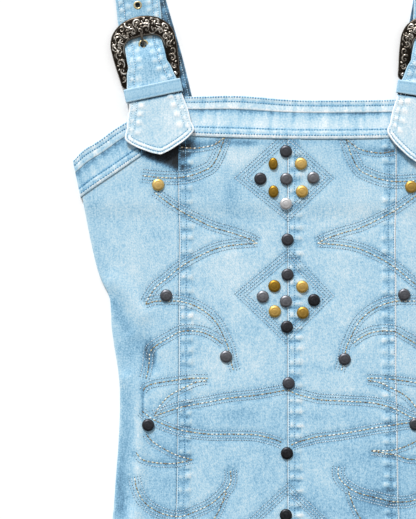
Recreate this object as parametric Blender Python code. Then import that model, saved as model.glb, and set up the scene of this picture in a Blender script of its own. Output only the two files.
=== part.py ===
"""Denim dress with two buckled straps, laid flat on its back.

Sizes are in millimetres and become metres when a mesh is made. In the
garment's own plan, x runs from the centre seam towards the right of the
picture, y upwards from the top edge of the band, and z up from the surface
that the dress lies on. The origin of the finished part is the middle of its
box at the height of that surface.
"""

import math

import bmesh
import bpy
import numpy as np

MM = 0.001

# Cloth
CLOTH = 1.2  # one layer of stretch denim
BAND = 2.2  # the band, a folded strip with its turnings
STRAP = 1.6  # a strap, two layers
GAP = 0.3  # between pieces at a seam or where they lie on each other
RIDGE = 0.7  # a folded edge of the band above the band
FELL = 0.6  # a felled seam above the panel
FELL_WIDTH = 12.0
FELL_SLOPE = 1.5

# Garment
HEM = -720.0
FOLD_TOP = 173.3  # where the middle of a strap turns over at the shoulder
STRAP_TOP = 179.17  # the highest corner of that fold, on the right strap
BAND_DEPTH = 36.5
BACK_SEAM = 100.0
BACK_TOP = -60.6
BACK_BAND_BOTTOM = -95.5
LOFT = 2.4  # how far the front stands off the back
LOFT_SIDE = 70.0  # over this distance from the side
LOFT_TOP = 45.0  # and from the top edge
BAND_DIP = 2.0
BAND_LEAN = 0.012
BAND_CORNER = 105.0
Y_SHIFT = -(HEM + STRAP_TOP) / 2

# Outline: y, half width of the dress, distance of the princess seam
OUTLINE = np.array(
    [
        (-96.0, 194.6, 103.5),
        (-125.0, 189.0, 102.5),
        (-146.0, 184.6, 102.5),
        (-164.0, 180.1, 102.8),
        (-176.0, 175.8, 103.0),
        (-190.6, 168.8, 103.0),
        (-205.0, 167.4, 103.0),
        (-219.0, 166.8, 103.0),
        (-240.0, 163.7, 103.0),
        (-259.0, 160.7, 103.0),
        (-278.0, 159.0, 103.4),
        (-300.0, 158.9, 104.2),
        (-332.0, 160.5, 106.5),
        (-369.0, 163.2, 110.0),
        (-398.0, 165.6, 113.0),
        (-440.0, 172.0, 117.0),
        (-480.0, 183.0, 121.0),
        (-520.0, 194.0, 124.5),
        (-560.0, 200.5, 127.0),
        (-620.0, 202.5, 129.0),
        (-720.0, 200.0, 130.0),
    ]
)

# The band round the armhole, from under the strap to the side seam:
# distance from the centre and y of its upper edge, the same of its lower edge
ARMHOLE = np.array(
    [
        (105.0, 0.0, 110.0, -37.0),
        (128.0, -11.5, 123.0, -45.0),
        (152.3, -23.8, 141.0, -57.2),
        (177.4, -37.3, 162.7, -72.2),
        (191.9, -47.5, 180.2, -83.9),
        (203.5, -60.6, 196.3, -95.2),
    ]
)

# Raised form across the band: share of its depth, height above the band
BAND_FORM = (
    (0.0, 0.1),
    (0.04, RIDGE),
    (0.28, RIDGE),
    (0.32, 0.0),
    (0.78, 0.0),
    (0.83, 0.6),
    (0.96, 0.6),
    (1.0, 0.0),
)

# Soft folds: x and y of start, middle and end, width, height
FOLDS = (
    (-169, -192, -161, -203, -153, -219, 5, -1.5),
    (-165, -176, -152, -188, -138, -206, 9, 1.2),
    (-139, -238, -134, -245, -129, -253, 10, -1.4),
    (-152, -268, -141, -322, -146, -400, 7, 1.8),
    (-146, -400, -152, -450, -160, -500, 10, 1.3),
    (168, -198, 160, -208, 150, -226, 6, -1.4),
    (163, -182, 152, -194, 140, -210, 9, 1.1),
    (150, -282, 141, -345, 147, -425, 8, 1.6),
    (126, -236, 132, -243, 140, -247, 9, -1.1),
    (-150, -540, -156, -620, -152, -716, 15, 1.2),
    (-62, -480, -66, -600, -58, -716, 18, 0.9),
    (48, -520, 54, -620, 50, -716, 18, 0.8),
    (146, -500, 151, -600, 158, -716, 16, 1.2),
)

# Buckle: middle of the ends of its legs, its lean, its cross bar and prong
BUCKLE_X = -128.6
BUCKLE_Y = 12.2
BUCKLE_LEAN = 12.0
BUCKLE_LOW = 3.2  # underside at the ends of the legs
BUCKLE_RISE = 0.045  # of the underside for each millimetre towards the arch
BAR_V = 6.0
BAR_Z = 4.7
BAR_RADIUS = 1.3
WRAP = BAR_RADIUS + GAP + CLOTH / 2  # middle of what turns round the bar
TAB_WIDTH = 36.0
PRONG = 1.2
PRONG_WIDTH = 2.4
KEEPER_TOP = 12.2
KEEPER_HALF = 27.6
KEEPER_V = (-13.0, -0.5)

# Buckle outline, half of it from the end of a leg to the middle of the arch:
# across and along of the outer edge, the same of the inner edge
BUCKLE = (
    (26.0, 0.4, 22.6, 0.6),
    (28.3, 3.5, 20.8, 4.5),
    (29.0, 11.0, 19.6, 11.0),
    (30.3, 22.0, 19.1, 22.0),
    (31.1, 34.0, 19.0, 33.0),
    (30.9, 43.0, 18.2, 38.5),
    (27.6, 52.0, 15.7, 42.3),
    (20.4, 59.2, 11.5, 44.4),
    (10.8, 63.6, 6.0, 45.2),
    (0.0, 65.0, 0.0, 45.4),
)
# Bevel across the buckle: share of the width, height
BUCKLE_FORM = ((0.0, 0.9), (0.14, 2.3), (0.5, 3.1), (0.86, 2.3), (1.0, 0.9))

# Strap, from its tip up the front, over the shoulder and down the back:
# x, y, z at mid thickness, half width, lean in degrees
STRAP_FRONT = (
    (-120.0, -54.8, 11.2, 1.5, 7.6),
    (-120.1, -52.2, 11.1, 9.0, 7.6),
    (-120.2, -49.3, 11.0, 15.0, 7.6),
    (-120.5, -44.6, 10.8, 23.8, 7.6),
    (-121.0, -37.5, 10.5, 32.4, 7.6),
    (-121.9, -27.0, 10.2, 30.6, 7.6),
    (-122.6, -17.1, 9.9, 28.9, 8.0),
    (-124.2, -4.8, 9.7, 25.9, 9.5),
    (-126.0, 2.0, 9.4, 25.0, 11.0),
    (-128.6, 12.2, 8.9, 24.0, 12.0),
    (-129.9, 18.1, 8.7, 22.6, 12.0),
    (-131.6, 26.0, 8.5, 20.8, 12.0),
    (-132.6, 31.0, 8.2, 18.6, 12.0),
    (-133.6, 35.7, 7.7, 18.6, 12.0),
    (-134.8, 41.5, 6.3, 18.4, 12.0),
    (-135.7, 45.5, 5.1, 18.2, 12.0),
    (-136.5, 49.4, 4.0, 18.1, 12.0),
    (-137.1, 53.3, 3.2, 18.4, 12.0),
    (-137.6, 56.2, 2.9, 18.8, 12.0),
    (-138.3, 61.0, 2.8, 20.2, 11.5),
    (-139.6, 69.4, 2.7, 20.8, 10.5),
    (-142.1, 92.2, 2.7, 21.0, 10.5),
    (-149.0, 135.0, 2.9, 21.0, 11.5),
    (-152.6, 152.0, 3.7, 21.0, 12.5),
)
STRAP_BACK = (
    (-148.0, 135.0, 0.8, 21.0, 14.5),
    (-137.1, 92.2, 0.8, 21.0, 15.0),
    (-119.1, 28.8, 0.8, 21.0, 14.5),
    (-112.0, -0.5, 0.8, 21.0, 14.0),
    (-102.0, -42.0, 0.8, 21.0, 14.0),
    (-100.1, -50.0, 2.5, 21.0, 14.0),
    (-99.0, -54.5, 3.35, 21.0, 14.0),
    (-91.5, -84.0, 3.35, 21.0, 14.0),
)
STRAP_FOLD = (-156.8, 171.0, 3.1, 21.0, 13.5)  # its middle line, as the rows above
STRAP_FOLD_RADIUS = 2.3
EYELETS = ((92.3, -142.1, 2.5), (49.4, -136.5, 3.1))  # y, x, radius of the hole

# Each side: name, sign, how far its strap lies outwards, its turn in degrees,
# and how far the back half lies outwards at the band
SIDES = (("left", 1, 0.0, 0.0, 0.0), ("right", -1, 3.5, 3.0, 10.0))

# Studs: x, y, finish
STUD_RADIUS = 5.9
STUD_FORM = ((5.5, 0.0), (5.9, 0.5), (5.3, 1.3), (3.0, 2.1))
STUD_HEIGHT = 2.4
DIAMOND_1 = (
    (-1.5, -52.0, "gunmetal"),
    (-13.6, -63.7, "brass"),
    (12.7, -63.7, "brass"),
    (-25.7, -77.9, "gunmetal"),
    (-1.2, -78.2, "gunmetal"),
    (24.4, -77.0, "gunmetal"),
    (-13.3, -90.0, "brass"),
    (13.7, -90.0, "brass"),
    (-1.5, -101.7, "gunmetal"),
)
DIAMOND_2 = (
    (0.0, -168.8, "gunmetal"),
    (-12.4, -179.6, "brass"),
    (14.0, -180.2, "brass"),
    (-23.4, -189.7, "gunmetal"),
    (-1.5, -194.1, "gunmetal"),
    (25.1, -192.9, "gunmetal"),
    (-12.0, -203.6, "brass"),
    (14.6, -204.9, "brass"),
    (-0.6, -218.2, "gunmetal"),
)
DIAMOND_3_DROP = -344.6  # the third diamond repeats the first, this far below
SEAM_STUDS = ((0.0, -135.6, "gunmetal"), (1.0, -271.7, "gunmetal"), (-0.5, -338.0, "gunmetal"))
SIDE_STUDS = (
    (-122.6, -83.6, "brass"),
    (117.2, -85.5, "brass"),
    (-114.9, -188.6, "gunmetal"),
    (110.6, -187.8, "gunmetal"),
    (-58.2, -246.5, "gunmetal"),
    (54.2, -248.9, "gunmetal"),
    (-132.1, -311.3, "gunmetal"),
    (121.3, -310.7, "gunmetal"),
)

COLOURS = {
    "denim": ("#A6CDE2", 0.92, 0.0),
    "denim_dark": ("#86B4D0", 0.92, 0.0),
    "denim_pale": ("#C2DDEA", 0.92, 0.0),
    "brass": ("#B08A35", 0.35, 1.0),
    "gunmetal": ("#4A4B50", 0.32, 1.0),
    "silver": ("#5E584F", 0.38, 1.0),
}


def linear(hex_colour):
    """Turn an sRGB hex colour into linear red, green, blue and alpha."""
    parts = [int(hex_colour[i : i + 2], 16) / 255 for i in (1, 3, 5)]
    return [p / 12.92 if p <= 0.04045 else ((p + 0.055) / 1.055) ** 2.4 for p in parts] + [1.0]


def material(name):
    """The Principled material of one finish, made once."""
    if name in bpy.data.materials:
        return bpy.data.materials[name]
    colour, roughness, metallic = COLOURS[name]
    made = bpy.data.materials.new(name)
    made.use_nodes = True
    shader = made.node_tree.nodes["Principled BSDF"]
    shader.inputs["Base Color"].default_value = linear(colour)
    shader.inputs["Roughness"].default_value = roughness
    shader.inputs["Metallic"].default_value = metallic
    return made


def smooth(t):
    """Rise from 0 to 1 with level ends."""
    t = np.clip(t, 0.0, 1.0)
    return t * t * (3 - 2 * t)


def curve(table, at):
    """Read the rows of a table at fractional rows, on a Catmull-Rom curve."""
    table = np.asarray(table, float)
    at = np.clip(at, 0, len(table) - 1)
    low = np.minimum(at.astype(int), len(table) - 2)
    t = (at - low)[:, None]
    padded = np.vstack([2 * table[0] - table[1], table, 2 * table[-1] - table[-2]])
    a, b, c, d = (padded[low + k] for k in range(4))
    return 0.5 * (2 * b + (c - a) * t + (2 * a - 5 * b + 4 * c - d) * t**2 + (3 * b - a - 3 * c + d) * t**3)


FINE_OUTLINE = curve(OUTLINE, np.linspace(0, len(OUTLINE) - 1, 161))
FINE_ARMHOLE = curve(ARMHOLE, np.linspace(0, len(ARMHOLE) - 1, 41))


def half_width(y):
    """Half the width of the dress at a height."""
    return np.interp(-np.asarray(y), -FINE_OUTLINE[:, 0], FINE_OUTLINE[:, 1])


def princess(y):
    """Distance of the princess seam from the centre seam."""
    return np.interp(-np.asarray(y), -FINE_OUTLINE[:, 0], FINE_OUTLINE[:, 2])


def band_line(x):
    """The gentle dip and lean of the band's upper edge across the front."""
    x = np.clip(x, -BAND_CORNER, BAND_CORNER)
    return -BAND_DIP * (1 - (x / BAND_CORNER) ** 2) - BAND_LEAN * (x + BAND_CORNER)


def band_edges(x):
    """Height of the band's upper and lower edge at x."""
    away = np.abs(x)
    lean = band_line(x)
    upper = np.interp(away, FINE_ARMHOLE[:, 0], FINE_ARMHOLE[:, 1])
    lower = np.interp(away, FINE_ARMHOLE[:, 2], FINE_ARMHOLE[:, 3])
    return upper + lean, np.where(away < ARMHOLE[0, 2], -BAND_DEPTH, lower) + lean


def fold_relief(x, y):
    """Height of the soft folds, each a rounded ridge or trough along a curve."""
    total = np.zeros(np.broadcast(x, y).shape)
    for x0, y0, x1, y1, x2, y2, width, height in FOLDS:
        nearest = np.full(total.shape, 1e9)
        for t in np.linspace(0, 1, 25):
            px = x0 * (1 - t) * (1 - 2 * t) + 4 * x1 * t * (1 - t) + x2 * t * (2 * t - 1)
            py = y0 * (1 - t) * (1 - 2 * t) + 4 * y1 * t * (1 - t) + y2 * t * (2 * t - 1)
            nearest = np.minimum(nearest, (x - px) ** 2 + (y - py) ** 2)
        total += height * np.exp(-nearest / width**2)
    return total


def front_floor(x, y):
    """Underside of the front: on the back at the sides, lofted inside."""
    x, y = np.broadcast_arrays(np.asarray(x, float), np.asarray(y, float))
    upper, _ = band_edges(x)
    low = CLOTH + GAP + (BAND - CLOTH) * smooth((y + 118) / 20)
    side = smooth((half_width(y) + 4 - np.abs(x)) / LOFT_SIDE)
    top = smooth((upper - y) / LOFT_TOP)
    return np.maximum(low, low + LOFT * side * top + fold_relief(x, y))


def new_object(name, mesh, finish):
    """Put a mesh into the scene under its name and finish."""
    mesh.materials.append(material(finish))
    made = bpy.data.objects.new(name, mesh)
    bpy.context.scene.collection.objects.link(made)
    return made


def solid(name, points, faces, finish):
    """A closed mesh from points in millimetres, its faces turned outwards."""
    points = (np.asarray(points) + (0, Y_SHIFT, 0)) * MM
    mesh = bpy.data.meshes.new(name)
    mesh.from_pydata(points.tolist(), [], faces)
    work = bmesh.new()
    work.from_mesh(mesh)
    bmesh.ops.recalc_face_normals(work, faces=work.faces)
    work.to_mesh(mesh)
    work.free()
    return new_object(name, mesh, finish)


def wall(name, outer, inner, finish, closed=False):
    """Join two grids of the same size into one wall; a closed one is a loop of rows."""
    rows, columns = outer.shape[:2]
    points = np.concatenate([outer.reshape(-1, 3), inner.reshape(-1, 3)])
    far = rows * columns
    faces = []
    for i in range(rows if closed else rows - 1):
        here, there = i * columns, (i + 1) % rows * columns
        for j in range(columns - 1):
            quad = (here + j, here + j + 1, there + j + 1, there + j)
            faces.append(quad)
            faces.append(tuple(far + k for k in reversed(quad)))
        for j in (0, columns - 1):
            faces.append((here + j, there + j, far + there + j, far + here + j))
    for start in () if closed else (0, (rows - 1) * columns):
        for j in range(start, start + columns - 1):
            faces.append((j, j + 1, far + j + 1, far + j))
    return solid(name, points, faces, finish)


def panel_rows(count):
    """Shares of the way down a panel: finer at the top, where most of the form is."""
    t = np.linspace(0, 1, count)
    return 0.82 * t + 0.18 * t**2


def front_panel(name, inner, outer, fells, columns, rows):
    """One front panel between two seams, each a function of y, with its felled seams raised."""
    across = np.linspace(0, 1, columns)
    down = panel_rows(rows)
    grid = np.zeros((rows, columns + 2 * len(fells), 3))
    for i, share in enumerate(down):
        y_row = -BAND_DEPTH + share * (HEM + BAND_DEPTH)
        left, right = inner(y_row), outer(y_row)
        start = left + (FELL_WIDTH + FELL_SLOPE) * ("left" in fells)
        end = right - (FELL_WIDTH + FELL_SLOPE) * ("right" in fells)
        x = list(start + (end - start) * across)
        raised = [0.0] * columns
        if "left" in fells:
            x = [left, left + FELL_WIDTH] + x
            raised = [FELL, FELL] + raised
        if "right" in fells:
            x = x + [right - FELL_WIDTH, right]
            raised = raised + [FELL, FELL]
        x = np.array(x)
        top = band_edges(x)[1] - GAP
        y = top + share * (HEM - top)
        grid[i] = np.column_stack([x, y, np.array(raised)])
    x, y, raised = grid[..., 0], grid[..., 1], grid[..., 2]
    low = front_floor(x, y)
    hem = 0.7 * smooth((HEM + 22 - y) / 2)
    outer_grid = np.stack([x, y, low + CLOTH + raised + hem], -1)
    inner_grid = np.stack([x, y, low], -1)
    return wall(name, outer_grid, inner_grid, "denim")


def side_panel(name, sign, columns, rows):
    """One side panel of the front, from the princess seam to the side."""
    across = np.linspace(0, 1, columns)
    down = panel_rows(rows)
    corner_x, corner_y = ARMHOLE[-1, 2] - 1.7, ARMHOLE[-1, 3] - GAP
    x = np.zeros((rows, columns))
    y = np.zeros((rows, columns))
    for i, share in enumerate(down):
        # The seam and the side start at different heights, so each column has its own.
        seam_top = band_edges(sign * princess(-40.0))[1] - GAP
        seam_y = seam_top + share * (HEM - seam_top)
        side_y = corner_y + share * (HEM - corner_y)
        seam_x = princess(seam_y) + GAP / 2
        side_x = min(half_width(side_y), corner_x)
        away = seam_x + (side_x - seam_x) * across
        top = band_edges(sign * (princess(-40.0) + (corner_x - princess(-40.0)) * across))[1] - GAP
        x[i] = sign * away
        y[i] = top + share * (HEM - top)
    low = front_floor(x, y)
    hem = 0.7 * smooth((HEM + 22 - y) / 2)
    outer = np.stack([x, y, low + CLOTH + hem], -1)
    inner = np.stack([x, y, low], -1)
    return wall(name, outer, inner, "denim")


def make_front():
    """The four front panels."""
    front_panel("front_centre_left", lambda y: -princess(y) + GAP / 2, lambda y: -GAP / 2, ("left",), 7, 32)
    front_panel("front_centre_right", lambda y: GAP / 2, lambda y: princess(y) - GAP / 2, ("left", "right"), 5, 32)
    side_panel("front_side_left", -1, 10, 42)
    side_panel("front_side_right", 1, 10, 42)


def make_back():
    """The three back panels, flat on the surface, and the band above them."""
    top = BACK_BAND_BOTTOM - GAP
    y = np.linspace(top, HEM, 25)
    sides = {"back_centre": (-1, 1), "back_side_left": (-1, -1), "back_side_right": (1, 1)}
    for name, (first, last) in sides.items():
        if first != last:
            left = np.full(len(y), -BACK_SEAM + GAP / 2)
            right = -left
            columns = 5
        else:
            left = np.full(len(y), first * (BACK_SEAM + GAP / 2))
            right = first * np.minimum(half_width(y), ARMHOLE[-1, 2] - 1.7)
            columns = 3
        across = np.linspace(0, 1, columns)
        x = left[:, None] + (right - left)[:, None] * across
        flat = np.stack([x, np.broadcast_to(y[:, None], x.shape), np.zeros(x.shape)], -1)
        wall(name, flat + (0, 0, CLOTH), flat, "denim")
    upper = np.linspace(-ARMHOLE[-1, 0], ARMHOLE[-1, 0], 9)
    lower = np.linspace(-ARMHOLE[-1, 2], ARMHOLE[-1, 2], 9)
    edge = np.stack([upper, np.full(9, BACK_TOP), np.zeros(9)], -1)
    foot = np.stack([lower, np.full(9, BACK_BAND_BOTTOM), np.zeros(9)], -1)
    flat = np.stack([edge, foot], 1)
    wall("band_back", flat + (0, 0, BAND), flat, "denim_pale")


def band_piece(name, upper, lower):
    """A stretch of the front band between two edges, with its folded edges raised."""
    share = np.array([s for s, _ in BAND_FORM])[None, :, None]
    height = np.array([h for _, h in BAND_FORM])
    plan = upper[:, None, :] * (1 - share) + lower[:, None, :] * share
    low = front_floor(plan[..., 0], plan[..., 1])
    outer = np.stack([plan[..., 0], plan[..., 1], low + BAND + height], -1)
    inner = np.stack([plan[..., 0], plan[..., 1], low], -1)
    wall(name, outer, inner, "denim_pale")


def make_bands():
    """The front band and the two bands that slope down round the armholes."""
    reach = ARMHOLE[0, 0] - GAP / 2
    foot = ARMHOLE[0, 2] - GAP / 2
    t = np.linspace(-1, 1, 17)
    upper = np.stack([t * reach, band_line(t * reach)], -1)
    lower = np.stack([t * foot, band_line(t * foot) - BAND_DEPTH], -1)
    band_piece("band_front", upper, lower)
    sections = curve(ARMHOLE, np.linspace(0, len(ARMHOLE) - 1, 11))
    sections[0, [0, 2]] += GAP / 2
    for side, sign in (("left", -1), ("right", 1)):
        upper = np.stack([sign * sections[:, 0], sections[:, 1] + band_line(sign * sections[:, 0])], -1)
        lower = np.stack([sign * sections[:, 2], sections[:, 3] + band_line(sign * sections[:, 2])], -1)
        band_piece(f"band_side_{side}", upper, lower)


def placed(points, side):
    """Carry points of the left strap to their side: turned about the buckle, moved out, mirrored."""
    _, sign, out, turn, _ = side
    points = np.array(points, float)
    angle = math.radians(-turn)
    x, y = points[..., 0] - BUCKLE_X, points[..., 1] - BUCKLE_Y
    points[..., 0] = sign * (BUCKLE_X - out + x * math.cos(angle) - y * math.sin(angle))
    points[..., 1] = BUCKLE_Y + x * math.sin(angle) + y * math.cos(angle)
    return points


def buckle_plan(u, v, z):
    """From the buckle's own across, along and height to the garment's plan."""
    lean = math.radians(BUCKLE_LEAN)
    x = BUCKLE_X + u * math.cos(lean) - v * math.sin(lean)
    y = BUCKLE_Y + u * math.sin(lean) + v * math.cos(lean)
    return np.stack(np.broadcast_arrays(x, y, z), -1)


def ribbon(name, middle, lean, half, thickness, columns, finish, side):
    """A flat strip along a path, as wide as its rows say."""
    lean = np.radians(lean)
    across = np.stack([np.cos(lean), np.sin(lean), np.zeros(len(lean))], -1)
    along = np.gradient(middle, axis=0)
    out = np.cross(across, along)
    out /= np.linalg.norm(out, axis=1)[:, None]
    u = np.linspace(-1, 1, columns)[None, :, None]
    plan = middle[:, None, :] + u * (half[:, None] * across)[:, None, :]
    lift = out[:, None, :] * thickness / 2
    return wall(name, placed(plan + lift, side), placed(plan - lift, side), finish)


def cutter(name, points, faces):
    """A hidden solid that cuts or joins another."""
    made = solid(name, points, faces, "denim")
    made.hide_render = True
    made.display_type = "WIRE"
    return made


def prism(outline, low, high):
    """Points and faces of an upright prism over a closed outline."""
    count = len(outline)
    points = [(x, y, z) for z in (low, high) for x, y in outline]
    faces = [tuple(range(count))[::-1], tuple(range(count, 2 * count))]
    faces += [(i, (i + 1) % count, (i + 1) % count + count, i + count) for i in range(count)]
    return points, faces


def boolean(target, other, operation):
    """Cut or join two solids."""
    step = target.modifiers.new(operation.lower(), "BOOLEAN")
    step.object = other
    step.operation = operation


def make_strap(side):
    """A strap from its flared tip, up the front, over the fold and down to the back band."""
    name, _, _, _, back_out = side
    x, y, z, half, lean = STRAP_FOLD
    turn = np.linspace(math.pi / 2, -math.pi / 2, 7)
    fold = [
        (x, y + STRAP_FOLD_RADIUS * math.cos(a), z + STRAP_FOLD_RADIUS * math.sin(a), half, lean) for a in turn
    ]
    rows = np.array(list(STRAP_FRONT) + fold + list(STRAP_BACK))
    back = np.arange(len(rows)) >= len(STRAP_FRONT) + len(fold)
    rows[back, 0] -= back_out * (FOLD_TOP - rows[back, 1]) / FOLD_TOP
    strap = ribbon(f"strap_{name}", rows[:, :3], rows[:, 4], rows[:, 3], STRAP, 3, "denim", side)
    for number, (hole_y, hole_x, radius) in enumerate(EYELETS):
        turn = np.linspace(0, 2 * math.pi, 12, endpoint=False)
        ring = np.stack([hole_x + radius * np.cos(turn), hole_y + radius * np.sin(turn)], -1)
        # The upper hole stops above the strap's back half.
        low = STRAP + GAP / 2
        boolean(strap, cutter(f"eyelet_cut_{name}_{number}", *prism(placed(ring, side), low, 12.0)), "DIFFERENCE")


def make_tab(side):
    """The folded tab under the strap: on the band, round the buckle's bar and back on itself."""
    lean = math.radians(BUCKLE_LEAN)
    lower = [(-121.8, -32.0, 7.9), (-122.9, -20.0, 7.2), (-124.2, -10.0, 6.6)]
    rise = [(-13.0, 6.3), (-7.0, 5.2), (-1.0, 4.1), (3.0, 3.0)]
    lower += [tuple(buckle_plan(0.0, v, z)) for v, z in rise]
    turn = np.linspace(-math.pi / 2, math.pi / 2, 7)
    lower += [tuple(buckle_plan(0.0, BAR_V + WRAP * math.cos(a), BAR_Z + WRAP * math.sin(a))) for a in turn]
    lower += [tuple(buckle_plan(0.0, v, z)) for v, z in ((0.0, 6.9), (-7.0, 7.1), (-13.0, 7.8))]
    lower += [(-124.2, -10.0, 8.1), (-123.4, -16.0, 8.4)]
    middle = np.array(lower)
    count = len(middle)
    tab = ribbon(
        f"tab_{side[0]}",
        middle,
        np.full(count, math.degrees(lean)),
        np.full(count, TAB_WIDTH / 2),
        CLOTH,
        3,
        "denim",
        side,
    )
    reach, slot = WRAP + CLOTH, PRONG_WIDTH / 2 + 0.5
    corners = [(-slot, BAR_V - reach), (slot, BAR_V - reach), (slot, BAR_V + reach), (-slot, BAR_V + reach)]
    plan = [tuple(placed(buckle_plan(u, v, 0.0), side)[:2]) for u, v in corners]
    boolean(tab, cutter(f"slot_cut_{side[0]}", *prism(plan, 0.5, 9.0)), "DIFFERENCE")


def make_buckle(side):
    """The horseshoe frame with its cross bar, and the prong that turns on the bar."""
    name = side[0]
    half = np.array(BUCKLE)
    mirrored = half[-2::-1] * (-1, 1, -1, 1)
    rows = np.vstack([half, mirrored])
    share = np.array([s for s, _ in BUCKLE_FORM])
    height = np.array([h for _, h in BUCKLE_FORM])
    u = rows[:, [0]] * (1 - share) + rows[:, [2]] * share
    v = rows[:, [1]] * (1 - share) + rows[:, [3]] * share
    low = BUCKLE_LOW + BUCKLE_RISE * v
    frame = wall(
        f"buckle_{name}",
        placed(buckle_plan(u, v, low + height), side),
        placed(buckle_plan(u, v, low), side),
        "silver",
    )
    turn = np.linspace(0, 2 * math.pi, 10, endpoint=False)
    ends = [
        buckle_plan(u_end, BAR_V + BAR_RADIUS * np.cos(turn), BAR_Z + BAR_RADIUS * np.sin(turn))
        for u_end in (-23.0, 23.0)
    ]
    points = placed(np.concatenate(ends), side)
    faces = [tuple(range(10)), tuple(range(10, 20))]
    faces += [(i, (i + 1) % 10, (i + 1) % 10 + 10, i + 10) for i in range(10)]
    boolean(frame, cutter(f"bar_join_{name}", points, faces), "UNION")

    ring = BAR_RADIUS + GAP + PRONG / 2
    turn = np.radians(np.linspace(-230, 55, 12))
    path = [(BAR_V + ring * math.cos(a), BAR_Z + ring * math.sin(a)) for a in turn]
    path += [(14.0, 5.6), (24.0, 4.3), (31.0, 3.1), (35.0, 3.0), (40.6, 6.2), (44.0, 8.0), (50.0, 9.2)]
    path = np.array(path)
    middle = buckle_plan(0.0, path[:, 0], path[:, 1])
    count = len(middle)
    ribbon(
        f"prong_{name}",
        middle,
        np.full(count, BUCKLE_LEAN),
        np.full(count, PRONG_WIDTH / 2),
        PRONG,
        2,
        "silver",
        side,
    )


def make_keeper(side):
    """The loop round the strap and the tab, below the buckle."""
    bottom = STRAP + GAP
    middle_z, half_z = (KEEPER_TOP + bottom) / 2, (KEEPER_TOP - bottom) / 2
    turn = np.linspace(0, 2 * math.pi, 28, endpoint=False)

    def loop(half_u, half_height):
        """A rounded oblong, as a superellipse."""
        power = 0.22
        u = half_u * np.sign(np.cos(turn)) * np.abs(np.cos(turn)) ** power
        z = half_height * np.sign(np.sin(turn)) * np.abs(np.sin(turn)) ** power
        return np.stack([u, middle_z + z], -1)

    grids = []
    for inset in (0.0, CLOTH):
        ring = loop(KEEPER_HALF - inset, half_z - inset)
        edges = [buckle_plan(ring[:, 0], v, ring[:, 1]) for v in KEEPER_V]
        grids.append(placed(np.stack(edges, 1), side))
    wall(f"keeper_{side[0]}", grids[0], grids[1], "denim_dark", closed=True)


def make_stud(name, x, y, finish):
    """A domed stud with a rolled rim, seated on the highest cloth under it."""
    turn = np.linspace(0, 2 * math.pi, 12, endpoint=False)
    under = [front_floor(x + r * np.cos(turn), y + r * np.sin(turn)).max() for r in (0.0, 3.0, STUD_RADIUS)]
    seat = max(under) + CLOTH + GAP + (FELL if near_fell(x, y) else 0.0)
    points = [(x, y, seat)]
    for radius, height in STUD_FORM:
        points += [(x + radius * math.cos(a), y + radius * math.sin(a), seat + height) for a in turn]
    points.append((x, y, seat + STUD_HEIGHT))
    last = len(points) - 1
    faces = [(0, 1 + i, 1 + (i + 1) % 12) for i in range(12)]
    for ring in range(len(STUD_FORM) - 1):
        low, high = 1 + 12 * ring, 13 + 12 * ring
        faces += [(low + i, low + (i + 1) % 12, high + (i + 1) % 12, high + i) for i in range(12)]
    high = 1 + 12 * (len(STUD_FORM) - 1)
    faces += [(high + i, high + (i + 1) % 12, last) for i in range(12)]
    solid(name, points, faces, finish)


def near_fell(x, y):
    """Whether a stud touches a felled seam, which stands above the panel."""
    strips = (
        (-princess(y), -princess(y) + FELL_WIDTH),
        (0.0, FELL_WIDTH),
        (princess(y) - FELL_WIDTH, princess(y)),
    )
    reach = STUD_RADIUS + FELL_SLOPE
    return any(low - reach < x < high + reach for low, high in strips)


def make_studs():
    """Every stud, one object each."""
    third = tuple((x, y + DIAMOND_3_DROP, finish) for x, y, finish in DIAMOND_1)
    groups = {
        "stud_diamond_1": DIAMOND_1,
        "stud_diamond_2": DIAMOND_2,
        "stud_diamond_3": third,
        "stud_seam": SEAM_STUDS,
        "stud_side": SIDE_STUDS,
    }
    for group, rows in groups.items():
        for number, (x, y, finish) in enumerate(rows, 1):
            make_stud(f"{group}_{number}", x, y, finish)


def main():
    """Clear the scene and build the dress."""
    for old in list(bpy.data.objects):
        bpy.data.objects.remove(old)
    make_back()
    make_front()
    make_bands()
    for side in SIDES:
        make_tab(side)
        make_strap(side)
        make_keeper(side)
        make_buckle(side)
    make_studs()


main()
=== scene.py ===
# %% [markdown]
# # A pale denim dress with domed studs and two buckled straps
#
# The dress lies on its back, front up, and is seen from straight above. The
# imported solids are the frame: they give the size and the place of every
# piece. This lesson makes the fine cloth, the sewing and the metal round them.
#
# Sizes are in millimetres, and become metres when a mesh is made. In the
# garment's own plan, x runs from the centre seam towards the right of the
# picture, y upwards from the top edge of the band, and z up from the surface
# that the dress lies on.

# %% Load the frame
import math

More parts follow.
